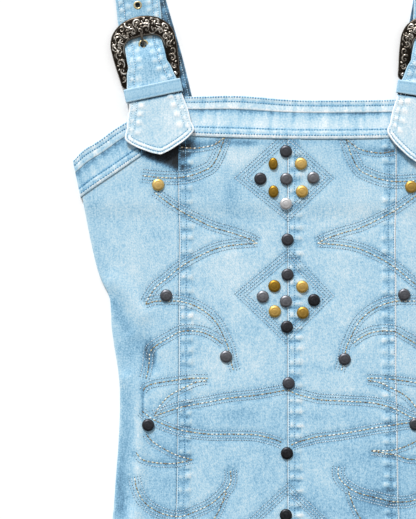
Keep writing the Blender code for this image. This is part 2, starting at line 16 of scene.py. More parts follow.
import bpy
import numpy as np
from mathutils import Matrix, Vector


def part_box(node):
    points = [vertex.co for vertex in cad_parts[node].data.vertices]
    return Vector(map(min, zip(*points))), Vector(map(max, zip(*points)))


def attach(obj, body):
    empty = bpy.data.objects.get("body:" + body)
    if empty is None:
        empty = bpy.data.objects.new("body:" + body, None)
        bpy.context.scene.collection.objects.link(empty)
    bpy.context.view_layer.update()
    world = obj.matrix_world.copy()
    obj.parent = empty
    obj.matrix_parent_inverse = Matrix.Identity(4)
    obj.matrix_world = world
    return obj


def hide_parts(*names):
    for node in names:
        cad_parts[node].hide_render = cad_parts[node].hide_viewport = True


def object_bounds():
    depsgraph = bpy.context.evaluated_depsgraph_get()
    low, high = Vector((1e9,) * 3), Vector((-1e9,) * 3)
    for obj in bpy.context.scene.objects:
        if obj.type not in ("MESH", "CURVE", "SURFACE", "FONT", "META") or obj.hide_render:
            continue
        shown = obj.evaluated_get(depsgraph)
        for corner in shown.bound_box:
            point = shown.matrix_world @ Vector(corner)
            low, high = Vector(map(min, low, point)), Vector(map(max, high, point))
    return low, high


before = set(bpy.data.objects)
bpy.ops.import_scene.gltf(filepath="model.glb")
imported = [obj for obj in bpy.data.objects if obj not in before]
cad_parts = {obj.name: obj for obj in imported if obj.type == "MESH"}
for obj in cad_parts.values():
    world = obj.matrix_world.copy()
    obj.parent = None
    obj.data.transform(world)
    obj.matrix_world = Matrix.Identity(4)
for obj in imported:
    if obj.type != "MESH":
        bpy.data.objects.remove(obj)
CAD_BOX = [list(corner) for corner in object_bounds()]
MM = 0.001
HEM = -720.0  # the hem, below the band's top edge
Y_SHIFT = CAD_BOX[0][1] / MM - HEM  # from the garment's plan to the frame
print("solids:", len(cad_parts), "box in mm:", [round((b - a) / MM, 1) for a, b in zip(*CAD_BOX)])

# %% [markdown]
# ## The camera
#
# A photograph of a flat garment is taken from straight above. A long lens from
# far away keeps the outline free of perspective, as in the picture. The lens
# follows from the height of the view and the distance.

# %% Camera
VIEW_MIDDLE = (-75.3, -154.4)  # of the picture, in the garment's plan
VIEW_HEIGHT = 493.05
CAMERA_HEIGHT = 2500.0
SENSOR = 36.0

camera = bpy.data.objects.new("camera", bpy.data.cameras.new("camera"))
camera.data.sensor_width = SENSOR
camera.data.lens = SENSOR * CAMERA_HEIGHT / VIEW_HEIGHT
camera.location = [v * MM for v in (VIEW_MIDDLE[0], VIEW_MIDDLE[1] + Y_SHIFT, CAMERA_HEIGHT)]
bpy.context.scene.collection.objects.link(camera)
bpy.context.scene.camera = camera
print("lens:", round(camera.data.lens, 1), "mm")

# %% [markdown]
# ## Light
#
# A white table in a bright studio. A soft lamp stands beyond the straps and a
# little to the left, so that the small shadows fall towards the hem, as under
# the strap's tip and the studs. The sky is brighter on that side too, which
# gives each dome its pale upper rim and its dark lower one. One small function
# adds a node with its settings and links, here and in every finish below.


# %% One node
def add(tree, kind, inputs=None, **settings):
    """Add a node with its settings, and link or set each of its inputs by name or number."""
    made = tree.nodes.new("ShaderNode" + kind)
    for setting, value in settings.items():
        setattr(made, setting, value)
    for socket, value in (inputs or {}).items():
        if isinstance(value, bpy.types.NodeSocket):
            tree.links.new(value, made.inputs[socket])
        else:
            made.inputs[socket].default_value = value
    return made


# %% Light
KEY_AZIMUTH, KEY_ELEVATION = 18.0, 36.0  # degrees left of the picture's top, and above the table
KEY_SOFTNESS = 11.0
KEY_STRENGTH = 3.15
SKY_DARK, SKY_BRIGHT = 0.06, 1.0

world = bpy.data.worlds.new("studio")
bpy.context.scene.world = world
world.use_nodes = True
sky = world.node_tree
way = add(sky, "TexCoord").outputs["Generated"]
north = add(sky, "SeparateXYZ", {0: way}).outputs["Y"]
levels = {"Value": north, "From Min": -1.0, "To Min": SKY_DARK, "To Max": SKY_BRIGHT}
level = add(sky, "MapRange", levels)
background = sky.nodes["Background"]
background.inputs["Color"].default_value = (1.0, 1.0, 1.0, 1.0)
sky.links.new(level.outputs["Result"], background.inputs["Strength"])
key = bpy.data.objects.new("key_lamp", bpy.data.lights.new("key_lamp", "SUN"))
key.data.energy = KEY_STRENGTH
key.data.angle = math.radians(KEY_SOFTNESS)
key.rotation_euler = (math.radians(KEY_ELEVATION - 90), 0.0, math.radians(KEY_AZIMUTH))
bpy.context.scene.collection.objects.link(key)
bpy.context.scene.view_settings.view_transform = "Standard"
print("key lamp", KEY_ELEVATION, "degrees up")

# %% [markdown]
# ## Small tools
#
# Everything below is a surface worked out with numpy. These helpers give the
# soft steps and curves, and the shape of the front, which is the same as the
# solids': flat on the back at the sides and a little lofted inside.


# %% Curves
def smooth(t):
    """Rise from 0 to 1 with level ends: 3t^2 - 2t^3."""
    t = np.clip(t, 0.0, 1.0)
    return t * t * (3 - 2 * t)


def bell(away, wide):
    """A soft bump, 1 in its middle: exp(-(away / wide)^2)."""
    return np.exp(-((away / wide) ** 2))


def parabola(start, middle, end, t):
    """The parabola through three values, which it meets at t = 0, a half and 1."""
    return start * (1 - t) * (1 - 2 * t) + 4 * middle * t * (1 - t) + end * t * (2 * t - 1)


def curve(table, at):
    """Read the rows of a table at fractional rows, on a Catmull-Rom curve."""
    table = np.asarray(table, float)
    at = np.clip(at, 0, len(table) - 1)
    low = np.minimum(at.astype(int), len(table) - 2)
    t = (at - low)[:, None]
    padded = np.vstack([2 * table[0] - table[1], table, 2 * table[-1] - table[-2]])
    a, b, c, d = (padded[low + k] for k in range(4))
    return 0.5 * (2 * b + (c - a) * t + (2 * a - 5 * b + 4 * c - d) * t**2 + (3 * b - a - 3 * c + d) * t**3)


def reach(points):
    """Distance walked along a line of points, from 0 at its first."""
    steps = np.linalg.norm(np.diff(points, axis=0), axis=1)
    return np.concatenate([[0.0], np.cumsum(steps)])


def through(nodes, values, at):
    """A smooth curve through values at uneven nodes: a cubic between each two, sloped as its neighbours."""
    slopes = np.gradient(values, nodes, axis=0)
    low = np.clip(np.searchsorted(nodes, at) - 1, 0, len(nodes) - 2)
    step = (nodes[low + 1] - nodes[low])[:, None]
    t = ((at - nodes[low]) / step[:, 0])[:, None]
    ends = (2 * t**3 - 3 * t**2 + 1) * values[low] + (3 * t**2 - 2 * t**3) * values[low + 1]
    return ends + step * ((t**3 - 2 * t**2 + t) * slopes[low] + (t**3 - t**2) * slopes[low + 1])


def even_line(points, step):
    """A smooth line through a few points, cut into even steps."""
    points = np.asarray(points, float)
    fine = curve(points, np.linspace(0, len(points) - 1, 12 * len(points)))
    walked = reach(fine)
    at = np.linspace(0, walked[-1], max(2, round(walked[-1] / step) + 1))
    return np.stack([np.interp(at, walked, fine[:, k]) for k in range(fine.shape[1])], -1)


# %% Sizes of the dress, as its solids have them but where a comment says so
CLOTH = 1.2  # one layer of stretch denim
BAND = 2.2  # the band, a folded strip with its turnings
STRAP = 1.6  # a strap, two layers
GAP = 0.3  # between pieces
FELL = 0.6  # a felled seam above the panel
FELL_WIDTH = 12.0
FELL_SLOPE = 1.5
BAND_DEPTH = 36.5
BACK_SEAM = 100.0  # from the middle of the back
BACK_TOP = -60.6
BACK_BAND_BOTTOM = -95.5
BACK_RISE, BACK_RISE_LENGTH = -118.0, 20.0  # where the front rises onto the back band
LOFT = 2.4  # how far the front stands off the back
LOFT_SIDE = 70.0  # over this length from the side
LOFT_TOP = 45.0  # and from the top
BAND_DIP = 2.0
BAND_LEAN = 0.012
BAND_CORNER = 105.0
HEM_FOLD = 22.0
HEM_RISE = 0.7

# Outline: y, half width of the dress, distance of the princess seam. Below the
# waist this seam runs up to 7 mm nearer the middle than the solids' own, as
# the picture has it.
OUTLINE = np.array([
    (-96.0, 194.6, 103.5), (-125.0, 189.0, 102.5), (-146.0, 184.6, 102.5), (-164.0, 180.1, 102.8),
    (-176.0, 175.8, 103.0), (-190.6, 168.8, 103.0), (-205.0, 167.4, 103.0), (-219.0, 166.8, 103.0),
    (-240.0, 163.7, 103.0), (-259.0, 160.7, 103.0), (-278.0, 159.0, 103.4), (-300.0, 158.9, 104.2),
    (-332.0, 160.5, 104.5), (-369.0, 163.2, 105.0), (-398.0, 165.6, 106.0), (-440.0, 172.0, 110.0),
    (-480.0, 183.0, 116.0), (-520.0, 194.0, 121.5), (-560.0, 200.5, 125.5), (-620.0, 202.5, 129.0),
    (-720.0, 200.0, 130.0),
])
# The band round the armhole: distance from the centre and y of its upper edge, the same of its lower edge
ARMHOLE = np.array([
    (105.0, 0.0, 110.0, -37.0), (128.0, -11.5, 123.0, -45.0), (152.3, -23.8, 141.0, -57.2),
    (177.4, -37.3, 162.7, -72.2), (191.9, -47.5, 180.2, -83.9), (203.5, -60.6, 196.3, -95.2),
])
# Soft folds: x and y of start, middle and end, width, height
FOLDS = (
    (-169, -192, -161, -203, -153, -219, 5, -1.5), (-165, -176, -152, -188, -138, -206, 9, 1.2),
    (-139, -238, -134, -245, -129, -253, 10, -1.4), (-152, -268, -141, -322, -146, -400, 7, 1.8),
    (-146, -400, -152, -450, -160, -500, 10, 1.3), (168, -198, 160, -208, 150, -226, 6, -1.4),
    (163, -182, 152, -194, 140, -210, 9, 1.1), (150, -282, 141, -345, 147, -425, 8, 1.6),
    (126, -236, 132, -243, 140, -247, 9, -1.1), (-150, -540, -156, -620, -152, -716, 15, 1.2),
    (-62, -480, -66, -600, -58, -716, 18, 0.9), (48, -520, 54, -620, 50, -716, 18, 0.8),
    (146, -500, 151, -600, 158, -716, 16, 1.2),
)
FINE_OUTLINE = curve(OUTLINE, np.linspace(0, len(OUTLINE) - 1, 161))
FINE_ARMHOLE = curve(ARMHOLE, np.linspace(0, len(ARMHOLE) - 1, 41))


# %% The shape of the front
def half_width(y):
    """Half the width of the dress at a height."""
    return np.interp(-np.asarray(y), -FINE_OUTLINE[:, 0], FINE_OUTLINE[:, 1])


def princess(y):
    """Distance of the princess seam from the centre seam."""
    return np.interp(-np.asarray(y), -FINE_OUTLINE[:, 0], FINE_OUTLINE[:, 2])


def band_line(x):
    """The gentle dip and lean of the band's upper edge across the front."""
    x = np.clip(x, -BAND_CORNER, BAND_CORNER)
    return -BAND_DIP * (1 - (x / BAND_CORNER) ** 2) - BAND_LEAN * (x + BAND_CORNER)


def band_edges(x):
    """Height of the band's upper and lower edge at x."""
    away = np.abs(x)
    lean = band_line(x)
    upper = np.interp(away, FINE_ARMHOLE[:, 0], FINE_ARMHOLE[:, 1])
    lower = np.interp(away, FINE_ARMHOLE[:, 2], FINE_ARMHOLE[:, 3])
    return upper + lean, np.where(away < ARMHOLE[0, 2], -BAND_DEPTH, lower) + lean


def fold_relief(x, y):
    """Height of the soft folds: each adds height times exp(-(distance / width)^2) round a parabola."""
    total = np.zeros(np.broadcast(x, y).shape)
    for x0, y0, x1, y1, x2, y2, width, height in FOLDS:
        nearest = np.full(total.shape, 1e9)
        for t in np.linspace(0, 1, 25):
            px, py = parabola(x0, x1, x2, t), parabola(y0, y1, y2, t)
            nearest = np.minimum(nearest, (x - px) ** 2 + (y - py) ** 2)
        total += height * np.exp(-nearest / width**2)
    return total


def front_floor(x, y):
    """Underside of the front: on the back at the sides, lofted inside, with the soft folds."""
    x, y = np.broadcast_arrays(np.asarray(x, float), np.asarray(y, float))
    upper, _ = band_edges(x)
    low = CLOTH + GAP + (BAND - CLOTH) * smooth((y - BACK_RISE) / BACK_RISE_LENGTH)
    side = smooth((half_width(y) + 4 - np.abs(x)) / LOFT_SIDE)
    top = smooth((upper - y) / LOFT_TOP)
    return np.maximum(low, low + LOFT * side * top + fold_relief(x, y))


print("front stands", round(float(front_floor(0.0, -300.0)), 2), "mm off the table at its middle")

# %% [markdown]
# ## Making a mesh
#
# A cloth wall is two grids of the same size, its outer and its inner side,
# joined round the edge. The whole of it is index arithmetic, so that a panel
# of 30,000 faces is made at once. A signed volume tells which way the faces
# point, and a shell that is inside out is turned.


# %% Mesh tools
def wall(outer, inner, closed=False):
    """Points and quads of the wall between two grids; a closed one is a loop of rows."""
    rows, columns = outer.shape[:2]
    index = np.arange(rows * columns).reshape(rows, columns)
    if closed:
        index = np.vstack([index, index[:1]])
    far = index + rows * columns
    a, b, c, d = index[:-1, :-1], index[:-1, 1:], index[1:, 1:], index[1:, :-1]
    e, f, g, h = far[:-1, :-1], far[:-1, 1:], far[1:, 1:], far[1:, :-1]
    quads = [np.stack(q, -1).reshape(-1, 4) for q in ((a, b, c, d), (h, g, f, e))]
    quads.append(np.stack([a[:, 0], d[:, 0], h[:, 0], e[:, 0]], -1))
    quads.append(np.stack([c[:, -1], b[:, -1], f[:, -1], g[:, -1]], -1))
    if not closed:
        quads.append(np.stack([b[0], a[0], e[0], f[0]], -1))
        quads.append(np.stack([d[-1], c[-1], g[-1], h[-1]], -1))
    return np.concatenate([outer.reshape(-1, 3), inner.reshape(-1, 3)]), np.concatenate(quads)


def volume(points, quads):
    """Six times the signed volume of a closed mesh of quads, as two triangles each."""
    a, b, c, d = (points[quads[:, k]] for k in range(4))
    return float((np.cross(a, b) * c).sum() + (np.cross(a, c) * d).sum())


def make_piece(name, points, quads, finish, slot, stands_for=(), sharp=50.0, **attributes):
    """A shown piece from points in millimetres and quads, with its finish and what it stands for; slot is
    not used.
    """
    points = np.asarray(points, float)
    quads = np.asarray(quads)
    if volume(points, quads) < 0:
        quads = quads[:, ::-1]
    mesh = bpy.data.meshes.new(name)
    mesh.vertices.add(len(points))
    mesh.vertices.foreach_set("co", ((points + (0, Y_SHIFT, 0)) * MM).astype(np.float32).ravel())
    mesh.loops.add(quads.size)
    mesh.loops.foreach_set("vertex_index", quads.astype(np.int32).ravel())
    mesh.polygons.add(len(quads))
    mesh.polygons.foreach_set("loop_start", np.arange(0, quads.size, 4, dtype=np.int32))
    mesh.update(calc_edges=True)
    mesh.shade_smooth()
    mesh.set_sharp_from_angle(angle=math.radians(sharp))
    for key_name, values in attributes.items():
        layer = mesh.attributes.new(key_name, "FLOAT", "POINT")
        layer.data.foreach_set("value", np.asarray(values, np.float32).ravel())
    mesh.materials.append(finish)
    made = bpy.data.objects.new(name, mesh)
    bpy.context.scene.collection.objects.link(made)
    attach(made, "root")
    if stands_for:
        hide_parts(*stands_for)
    print(f"{name}: {2 * len(quads)} triangles")
    return made


# %% [markdown]
# ## Fields: where the cloth is raised, sunk, worn, blue and shaded
#
# Sewing pulls denim into small puckers, and washing rubs their tops white and
# leaves the hollows blue; the creases are darker still by painted shade. Both
# follow the same pattern, so it is drawn once, as a sheet of numbers over the
# garment's plan, 0.8 mm apart. Each pucker or stretch of seam is one soft blob
# stamped on it. Both the height and the colour of the panels read the same
# sheet.

# %% Fields
FIELD_LOW = np.array([-208.0, -724.0])
FIELD_STEP = 0.8
FIELD_SHAPE = (910, 522)


def stamp(field, x, y, wide, tall, amount, keep_highest=False, power=2):
    """Add amount times exp(-|dx/wide|^p - |dy/tall|^p) round a point, or keep the higher of the two."""
    column, row = (np.array([x, y]) - FIELD_LOW) / FIELD_STEP
    half = np.ceil(2.4 * np.array([wide, tall]) / FIELD_STEP).astype(int)
    left, right = max(0, int(column) - half[0]), min(FIELD_SHAPE[1], int(column) + half[0] + 2)
    low, high = max(0, int(row) - half[1]), min(FIELD_SHAPE[0], int(row) + half[1] + 2)
    if left >= right or low >= high:
        return
    dx = (np.arange(left, right) - column) * FIELD_STEP / wide
    dy = (np.arange(low, high) - row) * FIELD_STEP / tall
    blob = amount * np.exp(-np.abs(dy[:, None]) ** power - np.abs(dx[None, :]) ** power)
    window = field[low:high, left:right]
    field[low:high, left:right] = np.maximum(window, blob) if keep_highest else window + blob


def read(field, x, y):
    """The field at points of the plan, worked out from the four nearest numbers."""
    column = np.clip((x - FIELD_LOW[0]) / FIELD_STEP, 0, FIELD_SHAPE[1] - 1.001)
    row = np.clip((y - FIELD_LOW[1]) / FIELD_STEP, 0, FIELD_SHAPE[0] - 1.001)
    j, i = column.astype(int), row.astype(int)
    u, v = column - j, row - i
    lower = field[i, j] * (1 - u) + field[i, j + 1] * u
    upper = field[i + 1, j] * (1 - u) + field[i + 1, j + 1] * u
    return lower * (1 - v) + upper * v


# %% [markdown]
# ## The decorative sewing
#
# Curved rows run over the front, the same on both sides: a row of cream and
# gold stitches with rows of fine blue-grey stitches beside it. Between the
# studs, four fine rows make a diamond. A few points, read off the picture as
# real sizes, are enough for each line.

# %% Lines of the decorative sewing
# For each curve: the offsets of its fine rows, and its points as distance
# from the centre seam and y
SCROLLS = {
    "neck_outer": (
        (-6.2, -3.4, 3.4, 6.0),
        (
            (137, -75), (128, -76), (116, -77), (104, -77), (92, -75), (81, -71), (72, -66), (65, -54),
            (59, -37),
        ),
    ),
    "neck_inner": ((3.4,), ((102, -48), (90, -49), (79, -48), (68, -45), (59, -38))),
    "bust_upper": (
        (-5.8, -3.2, 3.2),
        ((126, -91), (114, -100), (102, -108), (87, -116), (70, -124), (53, -129), (36, -135), (29, -139)),
    ),
    "bust_lower": (
        (-3.2, 3.2, 5.8),
        (
            (29, -139), (53, -141), (70, -145), (87, -153), (102, -162), (114, -172), (124, -180),
            (130, -188), (134, -196),
        ),
    ),
    "waist_outer": (
        (-6.0, -3.0, 3.0),
        (
            (134, -197), (125, -194), (113, -194), (103, -194), (91, -197), (81, -202), (72, -209),
            (65, -218), (59, -231), (56, -238), (53, -253), (51, -260),
        ),
    ),
    "waist_inner": (
        (-6.0, -3.0, 3.0),
        (
            (134, -267), (132, -259), (131, -251), (130, -242), (123, -235), (111, -228), (102, -223),
            (91, -222), (79, -224), (69, -229), (61, -235),
        ),
    ),
    "hip_leaf_upper": (
        (-3.4, 3.4), ((137, -279), (134, -275), (126, -272), (107, -269), (90, -267), (76, -267))
    ),
    "hip_leaf_lower": ((3.4,), ((126, -302), (120, -292), (111, -283), (98, -276), (87, -271), (76, -269))),
    "hip_long": (
        (-5.6, -3.2, 3.2),
        ((126, -303), (115, -299), (99, -294), (77, -290), (56, -286), (29, -283), (0, -278)),
    ),
    "hip_wave": (
        (-3.2, 3.2, 5.6),
        (
            (138, -298), (129, -305), (119, -310), (108, -314), (97, -317), (74, -320), (53, -320),
            (31, -320.6), (21.4, -322.5), (12.2, -325), (5, -328),
        ),
    ),
    "thigh_leaf_upper": ((3.4,), ((134, -320), (128, -327), (117, -334), (105, -340), (91, -344))),
    "thigh_leaf_lower": (
        (3.4,), ((143, -338), (138, -344), (126, -347), (110, -348), (98, -346), (90, -344))
    ),
    "thigh_bowl": (
        (-5.6, -3.0, 3.0, 5.6),
        (
            (145, -361), (143, -371), (137, -383), (126, -392), (113, -397), (101, -398), (89, -394),
            (74, -387), (62, -377), (54, -366), (54, -354),
        ),
    ),
    "thigh_tail": ((-3.4,), ((58, -375), (62, -386), (68, -398), (77, -409), (90, -416))),
}
# Lines on the right that don't mirror their twins
RIGHT_LINES = {
    "neck_outer": (
        (133.4, -78.4), (124.4, -79.4), (112.4, -80.4), (100.4, -80.4), (88.4, -78.4), (77.4, -74.4),
        (68.4, -69.4), (61.4, -57.4), (55.4, -40.4),
    ),
    "neck_inner": ((102, -51.5), (90, -53.5), (79, -52.5), (68, -49.5), (56, -41), (51, -37)),
    "thigh_bowl": (
        (143, -352), (139, -364), (131, -375), (119, -383), (101, -384), (83, -380), (68, -376),
        (58, -370.5), (51, -364), (48, -357), (49, -350),
    ),
    "hip_wave": (
        (138, -301), (122.3, -308), (110.8, -309.7), (100.3, -311.4), (87.2, -313.3), (74, -315.7),
        (63.7, -317.5), (48, -320.2), (28.3, -322.5), (19, -325), (11.3, -327), (4, -330),
    ),
    "hip_long": (
        (126, -306), (117.3, -304), (101.6, -296), (86, -291.4), (74, -289.8), (54.5, -288.7), (31, -287.4),
        (19, -284.8), (8.7, -282), (0, -278),
    ),
    "thigh_leaf_upper": (
        (134, -319), (122.4, -326.5), (113.4, -331), (105.6, -333.7), (96.5, -335.6), (80, -335.6)
    ),
    "thigh_leaf_lower": (
        (143, -338), (136, -343), (122.4, -344), (113.4, -343.5), (103, -340), (92.6, -338), (79, -336)
    ),
}
# Diamonds: top, right, bottom and left corner of the outer row
DIAMONDS = (
    ((-3, -34), (44, -77), (0.7, -118), (-50, -77)), ((0.7, -144), (44, -189), (-1, -234), (-50, -187)),
    ((0.4, -366), (47.9, -410.6), (0.4, -455.2), (-47.1, -410.6)),
)
DIAMOND_ROWS = 4
DIAMOND_STEP = 2.6


def beside(line, offset):
    """The line that runs at a distance beside another, along its normals."""
    along = np.gradient(line, axis=0)
    along /= np.linalg.norm(along, axis=1)[:, None]
    return line + offset * np.stack([-along[:, 1], along[:, 0]], -1)


gold_lines, fine_lines = [], []
for sign in (-1, 1):
    for name, (offsets, points) in SCROLLS.items():
        if sign == 1:
            points = RIGHT_LINES.get(name, points)
        line = even_line(points, 0.8) * (sign, 1)
        gold_lines.append(line)
        fine_lines += [beside(line, sign * offset) for offset in offsets]
for corners in DIAMONDS:
    corners = np.array(corners, float)
    middle = corners.mean(axis=0)
    inside = np.linalg.norm(corners[0] - corners[2]) / 2 * math.cos(math.pi / 4)
    for row in range(DIAMOND_ROWS):
        smaller = middle + (corners - middle) * (1 - row * DIAMOND_STEP / inside)
        for start, end in zip(smaller, np.roll(smaller, -1, axis=0)):
            fine_lines.append(start + (end - start) * np.linspace(0, 1, 80)[:, None])
print(len(gold_lines), "gold lines and", len(fine_lines), "fine lines")

# %% [markdown]
# ## Seam puckers, channels and dents
#
# Each felled seam is sewn with two rows, and between them the cloth rises in
# pairs of small pillows at uneven distances, with a crease under each that is
# darkened by painted shadow.
# The decorative rows press a shallow channel into the panel.

# %% Stamp the fields
PUCKER_COLUMNS = (3.8, 10.9)  # the two columns of pillows, from the seam
PUCKER_STEP = (9.0, 14.5)
chance = np.random.default_rng(21)
pucker = np.zeros(FIELD_SHAPE)
crease_and_shade = np.zeros(FIELD_SHAPE)
channel = np.zeros(FIELD_SHAPE)


def felled_seams(y):
    """Where each felled seam begins at a height, and the direction in which its strip lies."""
    return ((-princess(y), 1), (np.zeros_like(y), 1), (princess(y), -1))


for seam in range(3):
    y = -46.0 - chance.uniform(0, 8)
    while y > HEM + HEM_FOLD:
        start, way = (float(v) for v in felled_seams(np.float64(y))[seam])
        strong = chance.uniform(0.45, 1.0)
        for column, size in zip(PUCKER_COLUMNS, (1.9, 3.7 if seam == 1 else 2.8)):
            x = start + way * (column + chance.uniform(-0.5, 0.5))
            tall = chance.uniform(1.8, 2.9)
            high, much = y + chance.uniform(-1, 1), strong * chance.uniform(0.6, 1.0)
            stamp(pucker, x, high, size, tall, much, power=3)
            stamp(crease_and_shade, x, high - tall - 0.9, size * 1.1, 0.8, much)
        below = y - chance.uniform(3.6, 5.2)
        stamp(crease_and_shade, start + way * chance.uniform(7, 9), below, 5.5, 1.1, chance.uniform(0.3, 1.0))
        y -= chance.uniform(*PUCKER_STEP)
for line in gold_lines:
    for x, y in line[::2]:
        stamp(channel, x, y, 3.2, 3.2, 0.95, keep_highest=True)
for line in fine_lines:
    for x, y in line[::2]:
        stamp(channel, x, y, 1.9, 1.9, 0.9, keep_highest=True)
print("pillows:", int((pucker > 0.4).sum()), "cells, channels:", int((channel > 0.4).sum()), "cells")

# %% [markdown]
# Along each seam the folded edge is rubbed white. The hollows under the band,
# the dents at the waist, the sides that turn away and the cloth beside the
# strap's tip are darker: painted shade. The broad patches where the washed
# cloth is paler are stamped as well.

# %% Painted shade in the hollows, and pale patches
# x, y, width, height, amount: a positive amount is paler, a negative one darker, mostly painted shade
PATCHES = (
    (-66.0, -44.0, 30.0, 4.0, -0.9), (-36.0, -44.0, 13.0, 3.0, -1.2), (20.0, -43.0, 60.0, 3.0, -0.5),
    (-45.0, -58.0, 18.0, 10.0, 0.6), (-52.0, -92.0, 9.0, 22.0, -0.55), (-60.0, -166.0, 26.0, 26.0, 0.35),
    (-30.0, -128.0, 18.0, 10.0, 0.3), (-150.0, -120.0, 26.0, 34.0, -0.05), (-86.0, -84.0, 12.0, 14.0, -0.3),
    (-160.0, -205.0, 7.0, 12.0, -0.3), (-146.0, -232.0, 13.0, 15.0, -0.5),
    (-152.0, -300.0, 9.0, 55.0, -0.6), (-158.0, -384.0, 6.0, 30.0, -0.9), (-142.0, -330.0, 3.2, 60.0, 0.5),
    (-64.0, -256.0, 22.0, 16.0, 0.3), (-50.0, -303.0, 34.0, 9.0, -0.35), (60.0, -120.0, 28.0, 26.0, 0.3),
    (78.0, -52.0, 18.0, 9.0, -0.45), (64.0, -215.0, 22.0, 24.0, 0.25), (50.0, -303.0, 40.0, 10.0, -0.4),
    (84.0, -346.0, 34.0, 22.0, -0.5), (88.0, -385.0, 30.0, 22.0, -0.8), (26.0, -388.0, 16.0, 12.0, -0.4),
    (150.0, -300.0, 9.0, 50.0, -0.7), (-118.0, -350.0, 22.0, 40.0, -0.3), (-105.0, -470.0, 30.0, 50.0, 0.2),
    (70.0, -500.0, 34.0, 60.0, 0.25), (-40.0, -600.0, 40.0, 50.0, 0.25),
)
# Short upright pleats in the dents at the waist: x, y, half height. Each is a
# dark line of painted shade with a paler line of painted light beside it.
PLEATS = (
    (-134.0, -243.0, 10.0), (-130.6, -241.0, 11.0), (-127.6, -244.0, 9.0), (-124.8, -247.0, 7.0),
    (131.0, -243.0, 9.0), (134.4, -241.0, 10.0), (137.6, -244.0, 8.0), (-137.5, -290.0, 14.0),
    (139.0, -296.0, 12.0),
)
patch = np.zeros(FIELD_SHAPE)
for x, y, wide, tall, amount in PATCHES:
    stamp(patch, x, y, wide, tall, amount)
for x, y, tall in PLEATS:
    stamp(patch, x, y, 1.1, tall, -0.75)
    stamp(patch, x + 1.7, y, 0.9, tall, 0.35)
    stamp(crease_and_shade, x, y, 1.2, tall, 1.0)
print("patches:", len(PATCHES))


# %% The top of the panels
def fell(x, y):
    """1 on the felled strips, with a slope at their inner edge."""
    total = np.zeros(np.broadcast(x, y).shape)
    for start, way in felled_seams(y):
        into = (x - start) * way
        total = np.maximum(total, np.where(into >= 0, 1 - smooth((into - FELL_WIDTH) / FELL_SLOPE), 0.0))
    return total


PUCKER_HEIGHT = 0.8
CREASE_DEPTH = 0.55
CHANNEL_DEPTH = 0.35


def front_top(x, y):
    """Outer surface of the front panels: floor, cloth, felled strips, hem, and the stamped fields."""
    x, y = np.broadcast_arrays(np.asarray(x, float), np.asarray(y, float))
    form = front_floor(x, y) + CLOTH + FELL * fell(x, y) + HEM_RISE * smooth((HEM + HEM_FOLD - y) / 2)
    form = form + PUCKER_HEIGHT * read(pucker, x, y)
    return form - CREASE_DEPTH * read(crease_and_shade, x, y) - CHANNEL_DEPTH * read(channel, x, y)


TIP_SHADES = ((-1, 5.0), (1, 0.9))  # the side of each tip, and how deep its shade is
# As on the left: its upper edge, its lower line through a place with a slope,
# and where it begins and ends across
SHADE_TOP = -44.0
SHADE_X, SHADE_Y, SHADE_SLOPE = -143.0, -55.5, -0.42
SHADE_OUTER, SHADE_INNER = -147.0, -86.0
SEAM_PATCH = (-93.0, 10.0, -47.0, 7.0, 0.48)  # x, width, y, height, share of the shade


def tip_shade(x, y):
    """Shade under the tip of each strap, down to a slanting line, and a soft patch by the princess seam."""
    total = 0.0
    for sign, amount in TIP_SHADES:
        out = x if sign < 0 else -x  # as on the left side
        low = SHADE_Y + SHADE_SLOPE * (out - SHADE_X)
        depth = smooth((y - low + 2.5) / 11.0) * smooth((SHADE_TOP - y) / 3.0)
        mottled = 1 + 0.13 * np.sin(x / 1.3 + 2 * np.sin(y / 2.1)) * np.sin(y / 1.7)
        seam = 0.62 + 0.38 * smooth((-princess(y) + 0.6 - out) / 1.6)
        inner, outer = smooth((SHADE_INNER - out) / 22.0), smooth((out - SHADE_OUTER) / 14.0)
        total = total - amount * mottled * depth * seam * inner * outer
        patch_x, wide, patch_y, tall, share = SEAM_PATCH
        total = total - share * amount * mottled * bell(out - patch_x, wide) * bell(y - patch_y, tall)
    return total


def front_tint(x, y):
    """Colour of the panels, from -1 for unfaded blue to 1 for rubbed white, with painted shade below -1
    under the straps' tips and painted light and shade at folds and seams.
    """
    x, y = np.broadcast_arrays(np.asarray(x, float), np.asarray(y, float))
    fold = fold_relief(x, y)
    tint = 2.0 * read(pucker, x, y) - 1.2 * read(crease_and_shade, x, y) - 0.7 * read(channel, x, y)
    tint += read(patch, x, y)
    # The folds' crests are a little paler, rubbed, and their troughs darker: painted shade.
    tint += 0.16 * np.clip(fold, 0, None) + 0.34 * np.clip(fold, None, 0)
    for start, way in felled_seams(y):
        into = (x - start) * way
        # The folded edge of each seam is rubbed white; on the right princess seam, whose edge faces away
        # from the lamp, it is painted brighter still: painted light. The blue line just outside the fold is
        # painted shadow.
        white = (1.3, 0.5) if way > 0 else (2.4, 0.75)  # the light comes from the left
        tint += white[0] * bell(into - 0.4, white[1]) - 0.5 * bell(into + 0.9, 0.7)
        tint -= 0.4 * smooth((into - 0.8) / 0.8) * smooth((FELL_WIDTH + 0.8 - into) / 1.6)
    # Darker within 26 mm of the sides: painted shade where they turn away. The cut edge itself is rubbed
    # white.
    side = half_width(y) - np.abs(x)
    tint += tip_shade(x, y) - 0.18 * smooth((26 - side) / 26) + 0.5 * bell(side, 1.2)
    # Darker below the waist: painted shade, as the light falls off towards the hem.
    tint -= 0.16 * smooth((-250 - y) / 90)  # a little bluer below the waist
    return tint + 0.8 * bell(y - HEM, 1.6) - 0.3 * bell(y - HEM - HEM_FOLD, 2.0)


# %% [markdown]
# ## Materials
#
# Each finish starts from what the real one is. One function turns the hex
# colours of a screen into the linear values that Blender works with, and one
# reads a ramp of such colours.


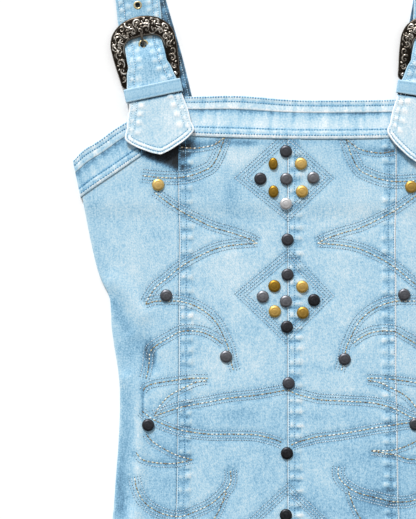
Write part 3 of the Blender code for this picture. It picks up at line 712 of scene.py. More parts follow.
# %% Material tools
def linear(hex_colour):
    """Turn an sRGB hex colour into linear red, green, blue and alpha."""
    parts = [int(hex_colour[i : i + 2], 16) / 255 for i in (1, 3, 5)]
    return [p / 12.92 if p <= 0.04045 else ((p + 0.055) / 1.055) ** 2.4 for p in parts] + [1.0]


def multiply_add(tree, value, factor, more):
    """The socket of value times factor plus more."""
    return add(tree, "Math", {0: value, 1: factor, 2: more}, operation="MULTIPLY_ADD").outputs[0]


def ramp(tree, position, stops):
    """A colour ramp through (position, hex colour) stops."""
    made = add(tree, "ValToRGB", {"Fac": position})
    points = made.color_ramp.elements
    while len(points) < len(stops):
        points.new(0.5)
    for point, (place, colour) in zip(points, stops):
        point.position = place
        point.color = linear(colour)
    return made.outputs["Color"]


def new_material(name, roughness, metallic=0.0):
    """A Principled material and its tree and shader."""
    made = bpy.data.materials.new(name)
    made.use_nodes = True
    shader = made.node_tree.nodes["Principled BSDF"]
    shader.inputs["Roughness"].default_value = roughness
    shader.inputs["Metallic"].default_value = metallic
    return made, made.node_tree, shader


# %% [markdown]
# Washed denim is white weft under blue warp. After a stone wash the colour
# breaks into soft blotches a few centimetres wide, short upright slubs, and a
# fine grain where single yarns show. The twill lines are 0.6 mm apart on the
# real cloth and are drawn at 1.5 mm, so that they show in the render.

# %% Denim
BLOTCH, SMALL_BLOTCH = 34.0, 9.0
SLUB_WIDE, SLUB_LONG = 1.3, 9.0
GRAIN = 1.5
TWILL, TWILL_LEAN = 1.5, 27.0
WAVE_PITCH = 0.314  # a wave's bands are this over its scale apart
WEAVE_DEPTH = 0.12
TINT_SHARE = 0.15  # how far a tint of 1 moves along the ramp
# Below 0 the cloth lies in deep shade, as under the strap's tip
DENIM_STOPS = (
    (-1.0, "#11171C"), (-0.6, "#23323E"), (-0.3, "#3F5A6E"), (0.0, "#5E8BAA"), (0.18, "#7CABC8"),
    (0.36, "#9BC3DA"), (0.5, "#B1D0E0"), (0.64, "#C4DAE5"), (0.82, "#DCE8EE"), (1.0, "#F4F6F7"),
)


def denim(name, middle=0.5, blotches=0.4, slubs=0.4, grains=0.9):
    """Cotton denim, stone washed and tumble dried: a soft matt face with blotches, slubs and grain."""
    made, tree, shader = new_material(name, 0.92)
    place = add(tree, "TexCoord").outputs["Object"]
    squeeze = (1.0, SLUB_WIDE / SLUB_LONG, 1.0)
    tall = add(tree, "Mapping", {"Vector": place, "Scale": squeeze}).outputs["Vector"]
    # The tint attribute holds each piece's wear, and its painted light and shade.
    tint = add(tree, "Attribute", attribute_name="tint").outputs["Fac"]
    # The ramp runs from -1 to 1, so every amount is halved.
    start = (1 + middle - (1.4 * blotches + slubs + grains) / 2) / 2
    total = multiply_add(tree, tint, TINT_SHARE, start)
    layers = (
        (place, BLOTCH, blotches), (place, SMALL_BLOTCH, 0.4 * blotches), (tall, SLUB_WIDE, slubs),
        (place, GRAIN, grains),
    )
    for vector, size, amount in layers:
        pattern = {"Vector": vector, "Scale": 1 / (size * MM), "Detail": 2.0, "Roughness": 0.6}
        noise = add(tree, "TexNoise", pattern)
        total = multiply_add(tree, noise.outputs["Fac"], amount / 2, total)
    stops = [((at + 1) / 2, colour) for at, colour in DENIM_STOPS]
    tree.links.new(ramp(tree, total, stops), shader.inputs["Base Color"])
    lean = (0.0, 0.0, math.radians(TWILL_LEAN))
    turned = add(tree, "Mapping", {"Vector": place, "Rotation": lean}).outputs["Vector"]
    bands = {"Vector": turned, "Scale": WAVE_PITCH / (TWILL * MM), "Distortion": 1.2, "Detail": 1.0}
    twill = add(tree, "TexWave", bands)
    rough = multiply_add(tree, noise.outputs["Fac"], 0.8, twill.outputs["Fac"])
    bump = add(tree, "Bump", {"Height": rough, "Strength": 0.35, "Distance": WEAVE_DEPTH * MM})
    tree.links.new(bump.outputs["Normal"], shader.inputs["Normal"])
    shader.inputs["Sheen Weight"].default_value = 0.12
    shader.inputs["Sheen Roughness"].default_value = 0.5
    return made


panel_denim = denim("washed_denim_panel", middle=0.455)
band_denim = denim("washed_denim_band", middle=0.5)
strap_denim = denim("washed_denim_strap", middle=0.5, blotches=0.5)
keeper_denim = denim("washed_denim_keeper", middle=0.35, blotches=0.2, slubs=0.2, grains=0.5)
print("denims made")


# %% [markdown]
# Sewing thread is spun polyester, smooth and a little shiny. The gold row has
# cream to brown stitches, because the thread is variegated. Tone is an
# attribute of each stitch.


# %% Thread
def thread(name, stops):
    """Spun polyester sewing thread, its colour by the tone of each stitch."""
    made, tree, shader = new_material(name, 0.55)
    tone = add(tree, "Attribute", attribute_name="tone").outputs["Fac"]
    tree.links.new(ramp(tree, tone, stops), shader.inputs["Base Color"])
    shader.inputs["Sheen Weight"].default_value = 0.2
    return made


gold_thread = thread(
    "gold_variegated_thread", ((0.0, "#4A4030"), (0.3, "#A38A58"), (0.5, "#D9CBA3"), (1.0, "#F8F4E8"))
)
fine_thread = thread(
    "grey_blue_fine_thread", ((0.0, "#3E5C70"), (0.35, "#6D93AA"), (0.6, "#A9C6D6"), (1.0, "#F4F7F8"))
)
blue_thread = thread("mid_blue_thread", ((0.0, "#3C79A3"), (0.5, "#5794BA"), (1.0, "#86B6D2")))
pale_thread = thread("pale_blue_thread", ((0.0, "#8FB8D0"), (0.5, "#C3DAE6"), (1.0, "#EDF3F6")))


# %% [markdown]
# The studs are brass caps, some left brass and some plated in gunmetal. The
# buckles are cast zinc, plated and blackened in the hollows, as antique
# silver is. A metal keeps its default IOR. Tone is how bright a stud is, or
# how high a place of the engraving stands.


# %% Metal
def metal(name, stops, roughness, patina=0.25, patch_size=2.5):
    """Aged metal: its colour follows the tone, broken up by a fine patina."""
    made, tree, shader = new_material(name, roughness, 1.0)
    place = add(tree, "TexCoord").outputs["Object"]
    tone = add(tree, "Attribute", attribute_name="tone").outputs["Fac"]
    noise = add(tree, "TexNoise", {"Vector": place, "Scale": 1 / (patch_size * MM), "Detail": 4.0})
    shifted = add(tree, "Math", {0: noise.outputs["Fac"], 1: -0.5}, operation="ADD").outputs[0]
    total = multiply_add(tree, shifted, patina, tone)
    tree.links.new(ramp(tree, total, stops), shader.inputs["Base Color"])
    limits = {"Value": noise.outputs["Fac"], "To Min": roughness - 0.1, "To Max": roughness + 0.15}
    rough = add(tree, "MapRange", limits)
    tree.links.new(rough.outputs["Result"], shader.inputs["Roughness"])
    return made


brass = metal("aged_brass", ((0.0, "#6A5118"), (0.4, "#A07C30"), (0.8, "#D9B365"), (1.0, "#EBCD8A")), 0.42)
gunmetal = metal(
    "gunmetal_plate", ((0.0, "#29292C"), (0.4, "#5A5B61"), (0.7, "#8D8E93"), (1.0, "#D6D5D6")), 0.38
)
silver = metal(
    "antique_silver_plate",
    ((0.0, "#120E0B"), (0.3, "#2E2822"), (0.55, "#80786E"), (0.8, "#D2CCC2"), (1.0, "#FBF8F2")), 0.3,
    patina=0.2, patch_size=4.0,
)
eyelet_metal = metal("aged_brass_eyelet", ((0.0, "#54401F"), (0.5, "#A18A58"), (1.0, "#E6D8AE")), 0.36)
print("metals made")

# %% [markdown]
# ## Front panels
#
# Four panels meet at three seams. Columns stand 1 mm apart on the felled
# strips, where the pillows are, and wider apart elsewhere. The edge of the
# cloth is rounded over its first millimetre.

# %% Front panels
ROWS = 300
COLUMN_STEP = 3.2
EDGE = np.array([0.0, 0.3, 0.8])
STRIP = np.concatenate([EDGE, np.arange(1.6, FELL_WIDTH + FELL_SLOPE + 1.2, 1.0)])
EDGE_ROUND = 0.45
SEAM_TOP = -40.0  # about where the princess seam meets the band
CORNER_IN = 1.7  # how far in from the band's corner a side panel ends


def round_edge(distance):
    """Drop of the outer side towards a cut edge, a quarter of an ellipse 0.8 mm wide."""
    return -EDGE_ROUND * (1 - np.clip(distance / EDGE[-1], 0, 1)) ** 2


def spread(left, right, near_left, near_right, step):
    """Columns at fixed distances from both edges and evenly between, and each one's distance to an edge."""
    start, end = left + near_left[-1], right - near_right[-1]
    count = max(2, int(np.ceil((end - start).max() / step)))
    between = start[:, None] + (end - start)[:, None] * np.linspace(0, 1, count + 1)[None, 1:-1]
    x = np.concatenate([left[:, None] + near_left, between, right[:, None] - near_right[::-1]], axis=1)
    return x, np.minimum(x - left[:, None], right[:, None] - x)


def panel_rows(count):
    """Shares of the way down a panel: finer at the top, where most of the form is."""
    t = np.linspace(0, 1, count)
    return 0.82 * t + 0.18 * t**2


def front_panel(name, x, y, edge):
    """The wall of one front panel over its plan."""
    outer = np.stack([x, y, front_top(x, y) + round_edge(np.minimum(edge, y - HEM))], -1)
    inner = np.stack([x, y, front_floor(x, y)], -1)
    points, quads = wall(outer, inner)
    tint = front_tint(points[:, 0], points[:, 1])
    made = make_piece(f"{name}_cloth", points, quads, panel_denim, "denim", (name,), tint=tint)


def centre_panel(name, left, right, near_left, near_right):
    """A panel between two seams, each a function of y."""
    share = panel_rows(ROWS)
    y_row = -BAND_DEPTH + share * (HEM + BAND_DEPTH)
    x, edge = spread(left(y_row), right(y_row), near_left, near_right, COLUMN_STEP)
    top = band_edges(x)[1] - GAP
    front_panel(name, x, top + share[:, None] * (HEM - top), edge)


def side_panel(name, sign):
    """A panel from the princess seam to the side; its top follows the armhole band."""
    share = panel_rows(ROWS)
    corner_x, corner_y = ARMHOLE[-1, 2] - CORNER_IN, ARMHOLE[-1, 3] - GAP
    seam_top = band_edges(sign * princess(SEAM_TOP))[1] - GAP
    seam_y = seam_top + share * (HEM - seam_top)
    side_y = corner_y + share * (HEM - corner_y)
    seam_x = princess(seam_y) + GAP / 2
    side_x = np.minimum(half_width(side_y), corner_x)
    away, edge = spread(seam_x, side_x, EDGE, EDGE, COLUMN_STEP)
    across = (away - seam_x[:, None]) / (side_x - seam_x)[:, None]
    top_x = princess(SEAM_TOP) + (corner_x - princess(SEAM_TOP)) * across
    top = band_edges(sign * top_x)[1] - GAP
    front_panel(name, sign * away, top + share[:, None] * (HEM - top), edge)


centre_panel(
    "front_centre_left", lambda y: -princess(y) + GAP / 2, lambda y: np.full(y.shape, -GAP / 2), STRIP, EDGE
)
centre_panel(
    "front_centre_right", lambda y: np.full(y.shape, GAP / 2), lambda y: princess(y) - GAP / 2, STRIP, STRIP
)
side_panel("front_side_left", -1)
side_panel("front_side_right", 1)

# %% [markdown]
# ## Back panels and back band
#
# The back lies flat on the table, so its underside is plain. Its panels are
# thin walls with rounded edges, as the front's are.

# %% Back
BACK_STEP = 6.0
# The back's tint is the front's wear and painted shade, scaled down.
BACK_TINT = 0.4  # its wear, as a share of the front's


def back_panel(name, left, right, y, thickness, finish, slot):
    """A flat wall between two side lines."""
    x, edge = spread(left, right, EDGE, EDGE, BACK_STEP)
    edge = np.minimum(edge, np.minimum(y[0] - y, y - y[-1])[:, None])
    flat = np.stack([x, np.broadcast_to(y[:, None], x.shape), np.zeros(x.shape)], -1)
    outer = flat + np.stack([0 * x, 0 * x, thickness + round_edge(edge)], -1)
    points, quads = wall(outer, flat)
    tint = front_tint(points[:, 0], points[:, 1]) * BACK_TINT
    made = make_piece(f"{name}_cloth", points, quads, finish, slot, (name,), tint=tint)


back_y = np.linspace(BACK_BAND_BOTTOM - GAP, HEM, 160)
back_side = np.minimum(half_width(back_y), ARMHOLE[-1, 2] - CORNER_IN)
seam = np.full(back_y.shape, BACK_SEAM)
back_panel("back_centre", -seam + GAP / 2, seam - GAP / 2, back_y, CLOTH, panel_denim, "denim")
back_panel("back_side_left", -back_side, -seam - GAP / 2, back_y, CLOTH, panel_denim, "denim")
back_panel("back_side_right", seam + GAP / 2, back_side, back_y, CLOTH, panel_denim, "denim")
band_y = np.linspace(BACK_TOP, BACK_BAND_BOTTOM, 40)
band_side = np.interp(band_y, (BACK_BAND_BOTTOM, BACK_TOP), (ARMHOLE[-1, 2], ARMHOLE[-1, 0]))
back_panel("band_back", -band_side, band_side, band_y, BAND, band_denim, "denim_band")

# %% [markdown]
# ## The band
#
# A band of folded denim runs round the top: a wide fold along its upper edge,
# a plain middle, and a narrow fold at the bottom. Across the band, the height
# is a short profile; along it, small uneven ripples where the rows of
# stitching draw it in.

# %% Band form
# Share of the band's depth, height, tint
# In the tint, the dark step just under the wide fold, at 0.335, is painted shadow.
BAND_FORM = np.array([
    (0.0, 0.1, 0.2), (0.03, 0.6, 0.3), (0.07, 0.62, 0.3), (0.14, 0.45, -0.5), (0.19, 0.62, 0.4),
    (0.26, 0.7, 0.5), (0.315, 0.6, 1.2), (0.335, 0.0, -2.4), (0.36, 0.0, -1.3), (0.42, 0.0, -0.4),
    (0.5, 0.06, 0.1), (0.68, 0.1, 0.5), (0.735, 0.08, 0.2), (0.775, 0.2, -0.9), (0.82, 0.6, 0.45),
    (0.895, 0.5, -0.5), (0.95, 0.62, 1.3), (1.0, 0.1, 0.2),
])
BAND_ACROSS = np.unique(np.concatenate([np.linspace(0, 1, 44), [0.322, 0.332, 0.342]]))
BAND_STEP = 1.1  # along it
RIPPLE = 0.07
# In the picture the top edge bows up left of the middle, and is straighter
# near the side corners than the solids' own: by how much, x, and how wide
BAND_BOW, BOW_PLACE = 3.3, (-47, 36)
ARMHOLE_DIP, DIP_PLACE = 3.6, (181, 15)
FOLD_END = 0.335  # share of the depth where the wide fold ends


def uneven(along, share):
    """Uneven ripples along a band: products of sines whose lengths don't fit each other."""
    first = np.sin(along / 1.7 + 2 * np.sin(along / 11.0)) * np.sin(along / 5.3 + 2.2 * share)
    second = 0.8 * np.sin(along / 2.9 + 3 * np.sin(along / 17.0) + 5 * share)
    return first + second * np.sin(along / 8.7 + 1.0)


def band_relief(along, share):
    """Height of the band over its base: the profile, and the ripples, which fade at both its edges."""
    form = np.interp(share, BAND_FORM[:, 0], BAND_FORM[:, 1])
    return form + RIPPLE * uneven(along, share) * np.sin(math.pi * np.clip(share, 0, 1))


def front_band_place(x, depth, lift):
    """A point on the front band, by x along its top edge and depth across it."""
    share = depth / BAND_DEPTH
    edge = ARMHOLE[0, 0] - GAP / 2
    x_low = x * (ARMHOLE[0, 2] - GAP / 2) / edge
    plan_x = x * (1 - share) + x_low * share
    bow = BAND_BOW * bell(x - BOW_PLACE[0], BOW_PLACE[1])
    plan_y = (band_line(x) + bow) * (1 - share) + (band_line(x_low) - BAND_DEPTH) * share
    return np.stack([plan_x, plan_y, front_floor(plan_x, plan_y) + BAND + band_relief(x, share) + lift], -1)


SIDE_BAND = curve(ARMHOLE, np.linspace(0, len(ARMHOLE) - 1, 61))
SIDE_BAND[0, [0, 2]] += GAP / 2
SIDE_BAND_LENGTH = float(reach(SIDE_BAND[:, :2])[-1])


def side_band_place(sign):
    """The same for a band round an armhole, by the distance along it."""

    def place(along, depth, lift):
        share = depth / BAND_DEPTH
        walked = reach(SIDE_BAND[:, :2])
        row = [np.interp(along, walked, SIDE_BAND[:, k]) for k in range(4)]
        upper = (sign * row[0], row[1] + band_line(sign * row[0]))
        lower = (sign * row[2], row[3] + band_line(sign * row[2]))
        upper = (upper[0], upper[1] - ARMHOLE_DIP * bell(row[0] - DIP_PLACE[0], DIP_PLACE[1]))
        plan_x, plan_y = (u * (1 - share) + v * share for u, v in zip(upper, lower))
        return np.stack(
            [plan_x, plan_y, front_floor(plan_x, plan_y) + BAND + band_relief(along, share) + lift], -1
        )

    return place


def band_piece(name, place, along, shade):
    """The wall of a stretch of band, folds and all."""
    a, share = np.meshgrid(along, BAND_ACROSS, indexing="ij")
    outer = place(a, share * BAND_DEPTH, 0.0)
    inner = outer.copy()
    inner[..., 2] = front_floor(outer[..., 0], outer[..., 1])
    ends = np.minimum(a - along[0], along[-1] - a)
    outer[..., 2] += round_edge(ends)
    points, quads = wall(outer, inner)
    tint = shade + np.interp(share, BAND_FORM[:, 0], BAND_FORM[:, 2]) + 0.35 * uneven(a, share)
    # The dark line just under the wide fold is painted shadow: softer round the armholes, and coming and
    # going along the band.
    fold = bell(share - FOLD_END, 0.03)
    if shade:  # round the armholes the fold is softer and the rows lie on paler cloth
        tint = tint + 1.3 * fold - 0.6 * bell(share - 0.31, 0.02)
        tint = tint + 0.6 * smooth((0.24 - share) / 0.05) + 0.5 * smooth((share - 0.76) / 0.05)
    tint = tint + 1.1 * fold * (0.5 + 0.5 * np.sin(a / 23 + 1.3))
    tint = tint + tip_shade(outer[..., 0], outer[..., 1])
    tint = np.concatenate([tint.ravel()] * 2)
    made = make_piece(f"{name}_cloth", points, quads, band_denim, "denim_band", (name,), tint=tint)


front_reach = ARMHOLE[0, 0] - GAP / 2
inside = np.arange(-front_reach + 2, front_reach - 1.5, BAND_STEP)
front_along = np.concatenate([-front_reach + EDGE, inside, front_reach - EDGE[::-1]])
band_piece("band_front", front_band_place, front_along, 0.0)
inside = np.arange(1.8, SIDE_BAND_LENGTH - 1.5, BAND_STEP)
side_along = np.concatenate([EDGE, inside, SIDE_BAND_LENGTH - EDGE[::-1]])
# The bands round the armholes are darker all over by painted shade, as they turn away.
for side, sign in (("left", -1), ("right", 1)):
    band_piece(f"band_side_{side}", side_band_place(sign), side_along, -0.7)

# %% [markdown]
# ## Straps, tabs, keepers and buckles
#
# All of them are strips carried along a path. Sizes are those of the left
# strap; the right one is its mirror, turned a little about its buckle. Its
# flared tip is turned outwards once more, because that edge is steeper in the
# picture.

# %% The left strap's own frame
BUCKLE_X = -128.6
BUCKLE_Y = 12.2
BUCKLE_LEAN = 12.0
BUCKLE_LOW = 3.2
BUCKLE_RISE = 0.045
BAR_V = 6.0
BAR_Z = 4.7
BAR_RADIUS = 1.3
WRAP = BAR_RADIUS + GAP + CLOTH / 2
TAB_WIDTH = 36.0
KEEPER_TOP = 12.2
KEEPER_HALF = 27.6
KEEPER_V = (-13.0, -0.5)
FOLD_TOP = 173.3
# Each side: name, sign, how far its strap lies outwards, its turn in degrees,
# and how far the back half lies outwards at the band
SIDES = (("left", 1, 0.0, 0.0, 0.0), ("right", -1, 3.5, 3.0, 10.0))
# From the tip up the front, over the shoulder and down the back:
# x, y, z at mid thickness, half width, lean in degrees
STRAP_FRONT = (
    (-120.0, -54.8, 11.2, 1.5, 7.6), (-120.1, -52.2, 11.1, 9.0, 7.6), (-120.2, -49.3, 11.0, 15.0, 7.6),
    (-120.5, -44.6, 10.8, 23.8, 7.6), (-121.0, -37.5, 10.5, 32.4, 7.6), (-121.9, -27.0, 10.2, 30.6, 7.6),
    (-122.6, -17.1, 9.9, 28.9, 8.0), (-124.2, -4.8, 9.7, 25.9, 9.5), (-126.0, 2.0, 9.4, 25.0, 11.0),
    (-128.6, 12.2, 8.9, 24.0, 12.0), (-129.9, 18.1, 8.7, 22.6, 12.0), (-131.6, 26.0, 8.5, 20.8, 12.0),
    (-132.6, 31.0, 8.2, 18.6, 12.0), (-133.6, 35.7, 7.7, 18.6, 12.0), (-134.8, 41.5, 6.3, 18.4, 12.0),
    (-135.7, 45.5, 5.1, 18.2, 12.0), (-136.5, 49.4, 4.0, 18.1, 12.0), (-137.1, 53.3, 3.2, 18.4, 12.0),
    (-137.6, 56.2, 2.9, 18.8, 12.0), (-138.3, 61.0, 2.8, 20.2, 11.5), (-139.6, 69.4, 2.7, 20.8, 10.5),
    (-142.1, 92.2, 2.7, 21.0, 10.5), (-149.0, 135.0, 2.9, 21.0, 11.5), (-152.6, 152.0, 3.7, 21.0, 12.5),
)
STRAP_BACK = (
    (-148.0, 135.0, 0.8, 21.0, 14.5), (-137.1, 92.2, 0.8, 21.0, 15.0), (-119.1, 28.8, 0.8, 21.0, 14.5),
    (-112.0, -0.5, 0.8, 21.0, 14.0), (-102.0, -42.0, 0.8, 21.0, 14.0), (-100.1, -50.0, 2.5, 21.0, 14.0),
    (-99.0, -54.5, 3.35, 21.0, 14.0), (-91.5, -84.0, 3.35, 21.0, 14.0),
)
STRAP_FOLD = (-156.8, 171.0, 3.1, 21.0, 13.5)
STRAP_FOLD_RADIUS = 2.3
EYELETS = ((86.9, -142.0, 2.35), (49.4, -136.5, 3.1))  # y, x, radius of the hole


def placed(points, side):
    """Carry points of the left strap to their side: turned about the buckle, moved out, mirrored."""
    _, sign, out, turn, _ = side
    points = np.array(points, float)
    angle = math.radians(-turn)
    x, y = points[..., 0] - BUCKLE_X, points[..., 1] - BUCKLE_Y
    points[..., 0] = sign * (BUCKLE_X - out + x * math.cos(angle) - y * math.sin(angle))
    points[..., 1] = BUCKLE_Y + x * math.sin(angle) + y * math.cos(angle)
    return points


def buckle_plan(u, v, z):
    """From the buckle's own across, along and height to the garment's plan."""
    lean = math.radians(BUCKLE_LEAN)
    x = BUCKLE_X + u * math.cos(lean) - v * math.sin(lean)
    y = BUCKLE_Y + u * math.sin(lean) + v * math.cos(lean)
    return np.stack(np.broadcast_arrays(x, y, z), -1)


class Strip:
    """A flat strip along a path; a place on it is s along it, u across it and lift above its middle."""

    def __init__(self, rows, side, step=1.0):
        rows = np.asarray(rows, float)
        nodes = reach(rows[:, :3])
        self.s = np.unique(np.concatenate([nodes, np.arange(0, nodes[-1], step)]))
        fine = through(nodes, rows, self.s)
        lean = np.radians(fine[:, 4])
        fine[:, 2] = np.maximum(fine[:, 2], rows[:, 2].min())  # never under its lowest row
        self.middle, self.half, self.side = fine[:, :3], fine[:, 3], side
        self.across = np.stack([np.cos(lean), np.sin(lean), np.zeros(len(lean))], -1)
        out = np.cross(self.across, np.gradient(self.middle, self.s, axis=0))
        self.out = out / np.linalg.norm(out, axis=1)[:, None]
        self.length = float(self.s[-1])

    def half_at(self, s):
        """Half the strip's width at a distance along it."""
        return np.interp(s, self.s, self.half)

    def place(self, s, u, lift):
        """The point of the strip at s, u and lift, on its own side of the dress."""
        s, u, lift = np.broadcast_arrays(s, u, lift)
        parts = [
            np.stack([np.interp(s, self.s, table[:, k]) for k in range(3)], -1)
            for table in (self.middle, self.across, self.out)
        ]
        return placed(parts[0] + parts[1] * u[..., None] + parts[2] * lift[..., None], self.side)


TIP_TURN = {"left": 0.0, "right": 13.0}  # the right tip lies turned outwards, about its inner corner
CORNER_ROW, KEEPER_ROW = 4, 8  # rows of STRAP_FRONT


def turn_tip(rows, turn):
    """Turn the flared tip about its inner corner; the turn fades up to the keeper, and that edge stays."""
    rows = rows.copy()
    lean = np.radians(rows[:, 4])
    inner = rows[:, :2] + rows[:, 3:4] * np.stack([np.cos(lean), np.sin(lean)], -1)
    top = rows[KEEPER_ROW, 1]
    more = np.radians(turn) * smooth((top - rows[:, 1]) / (top - rows[CORNER_ROW, 1]))
    side_edge = inner - rows[:, 3:4] * np.stack([np.cos(lean + more), np.sin(lean + more)], -1)
    corner, angle = inner[CORNER_ROW], math.radians(turn)
    spin = np.array([[math.cos(angle), math.sin(angle)], [-math.sin(angle), math.cos(angle)]])
    rows[:, :2] = side_edge
    rows[:CORNER_ROW, :2] = corner + (np.array(STRAP_FRONT)[:CORNER_ROW, :2] - corner) @ spin
    rows[:, 4] += np.degrees(more)
    return rows


def strap_strip(side):
    """The whole strap, from its tip over the shoulder to the back band."""
    x, y, z, half, lean = STRAP_FOLD
    fold = [
        (x, y + STRAP_FOLD_RADIUS * math.cos(a), z + STRAP_FOLD_RADIUS * math.sin(a), half, lean)
        for a in np.linspace(math.pi / 2, -math.pi / 2, 7)
    ]
    rows = np.array(list(STRAP_FRONT) + fold + list(STRAP_BACK))
    plain = reach(rows[:KEEPER_ROW, :3])[-1]
    rows = turn_tip(rows, TIP_TURN[side[0]])
    back = np.arange(len(rows)) >= len(STRAP_FRONT) + len(fold)
    rows[back, 0] -= side[4] * (FOLD_TOP - rows[back, 1]) / FOLD_TOP
    strip = Strip(rows, side, step=1.25)
    strip.longer = float(reach(rows[:KEEPER_ROW, :3])[-1] - plain)
    return strip


strap_strips = {side[0]: strap_strip(side) for side in SIDES}
print("strap length:", round(strap_strips["left"].length), "mm")

# %% [markdown]
# The tip of the strap has a double piped edge, white where it is rubbed, and
# the rest is puckered in columns along both edges. Heights and tint are
# functions of the distance to the edge and of the place along the strap.

# %% Strap cloth
TIP_LENGTH = 60.0  # the flared part
PIPED_LENGTH = 24.0  # how far up from the point its edge is piped
KEEPER_LOW = 54.4  # where the keeper's lower edge crosses the strap
BACK_SHARE = 0.4  # relief of the back half, which lies pressed under the front half
STRAP_ROWS_IN = (2.9, 7.2)  # stitch rows, in from the edge
STRAP_PILLOWS = ((4.9, 2.1), (11.0, 3.0))  # columns of pillows: in from the edge, half width
STRAP_STEP = (7.0, 11.0)  # from one pillow to the next
# Round the tip, in from the edge: place, width and amount
PIPES = ((0.9, 0.7, 1.0), (4.3, 1.0, 0.8))
GROOVES = ((2.5, 0.6, 1.0), (6.3, 0.7, 0.9))
ROW_CREASE = 7.4  # the blue crease beside the inner row, in from the edge
TONE_CHANGE = 58.0  # below this distance from the tip the strap is paler, and above it bluer
FRONT_WALK = reach(np.array(STRAP_FRONT)[:, :3])  # distance from the tip to each row
SHOULDER = float(FRONT_WALK[-1]) + 19.0  # where the strap lies back on itself
ARCH_LOW = float(FRONT_WALK[18]) + 0.4  # where the buckle's arch shades the strap
ARCH_CURVE = 0.012
STRAP_EDGE = np.array([0, 0.012, 0.035])  # columns by each edge, as shares of the half width
HOLE_LOW, HOLE_HIGH = STRAP + GAP / 2, 12.0  # between these heights an eyelet's hole is cut


def edge_distance(strip, s, u):
    """Distance to the strap's outline, in its own plane, to the tip's slanting edges as well."""
    rim_s = np.concatenate([strip.s, strip.s[::-1]])
    rim_u = np.concatenate([strip.half, -strip.half[::-1]])
    near = rim_s < TIP_LENGTH + 20
    rim = np.stack([rim_s[near], rim_u[near]], -1)
    flat = np.stack([s.ravel(), u.ravel()], -1)
    tip = flat[:, 0] < TIP_LENGTH
    distance = strip.half_at(flat[:, 0]) - np.abs(flat[:, 1])
    apart = np.linalg.norm(flat[tip][:, None, :] - rim[None, :, :], axis=2).min(axis=1)
    distance[tip] = np.minimum(apart, np.maximum(distance[tip], 0))
    return distance.reshape(s.shape)


def blobs(s, u, centres):
    """Sum of flat-topped pillows: amount times exp(-(|ds|/long)^3 - (|du|/wide)^3)."""
    total = np.zeros(s.shape)
    for cs, cu, long, wide, amount in centres:
        near = np.abs(s - cs) < 2.5 * long
        ds, du = np.abs(s[near] - cs) / long, np.abs(u[near] - cu) / wide
        total[near] += amount * np.exp(-(ds**3) - du**3)
    return total


def strap_pillows(strip, seed):
    """Pillows along the strap: two columns in from each edge, at uneven distances."""
    chance = np.random.default_rng(seed)
    centres = []
    for way in (-1, 1):
        for inset, wide in STRAP_PILLOWS:
            s = 14.0 + chance.uniform(0, 6)
            while s < strip.length - 6:
                cu = way * (strip.half_at(s) - inset)
                centres.append((s, cu, chance.uniform(1.9, 2.9), wide, chance.uniform(0.45, 1.0)))
                s += chance.uniform(*STRAP_STEP)
    return centres


strap_bumps = {side[0]: strap_pillows(strap_strips[side[0]], 5 + n) for n, side in enumerate(SIDES)}


def strap_relief(strip, s, u):
    """Height of the strap's outer side over its thickness, and its tint, with painted shadows under the
    keeper and the buckle's arch.
    """
    edge = edge_distance(strip, s, u)
    up = s - strip.longer  # the same at the keeper and the buckle on both straps
    pillow = blobs(s, u, strap_bumps[strip.side[0]])
    piped = smooth((PIPED_LENGTH - s) / 9) * smooth(edge / 0.5)
    pipe, groove = (
        sum(amount * bell(edge - inset, wide) for inset, wide, amount in rows) for rows in (PIPES, GROOVES)
    )
    height = 0.4 * piped * pipe - 0.2 * groove * smooth(edge / 2) + 0.6 * pillow * (1 - 0.8 * piped)
    tint = 1.8 * pillow * (1 - 0.8 * piped) + piped * (1.6 * pipe - 1.0 * groove)
    tint += 0.35 * smooth((TONE_CHANGE - up) / 8) - 0.7 * smooth((up - TONE_CHANGE) / 6)
    rubbed = (0.8 + 1.2 * smooth((KEEPER_LOW - up) / 3)) * bell(edge, 0.9)
    tint += (rubbed - 0.8 * bell(edge - ROW_CREASE, 1.0)) * (1 - piped)
    # Painted shadows: a dark line on the strap just below the keeper's lower edge, and a darker band under
    # the buckle's arch.
    keeper_shadow = np.where(up < KEEPER_LOW, np.exp((up - KEEPER_LOW) / 0.8), 1.0)
    keeper_shadow = keeper_shadow * smooth((KEEPER_LOW + 8 - up) / 2)
    arch_shadow = smooth((up + ARCH_CURVE * u * u - ARCH_LOW) / 2.5) * smooth((ARCH_LOW + 14 - up) / 3)
    return height + round_edge(edge), tint - 4.5 * keeper_shadow - 1.8 * arch_shadow


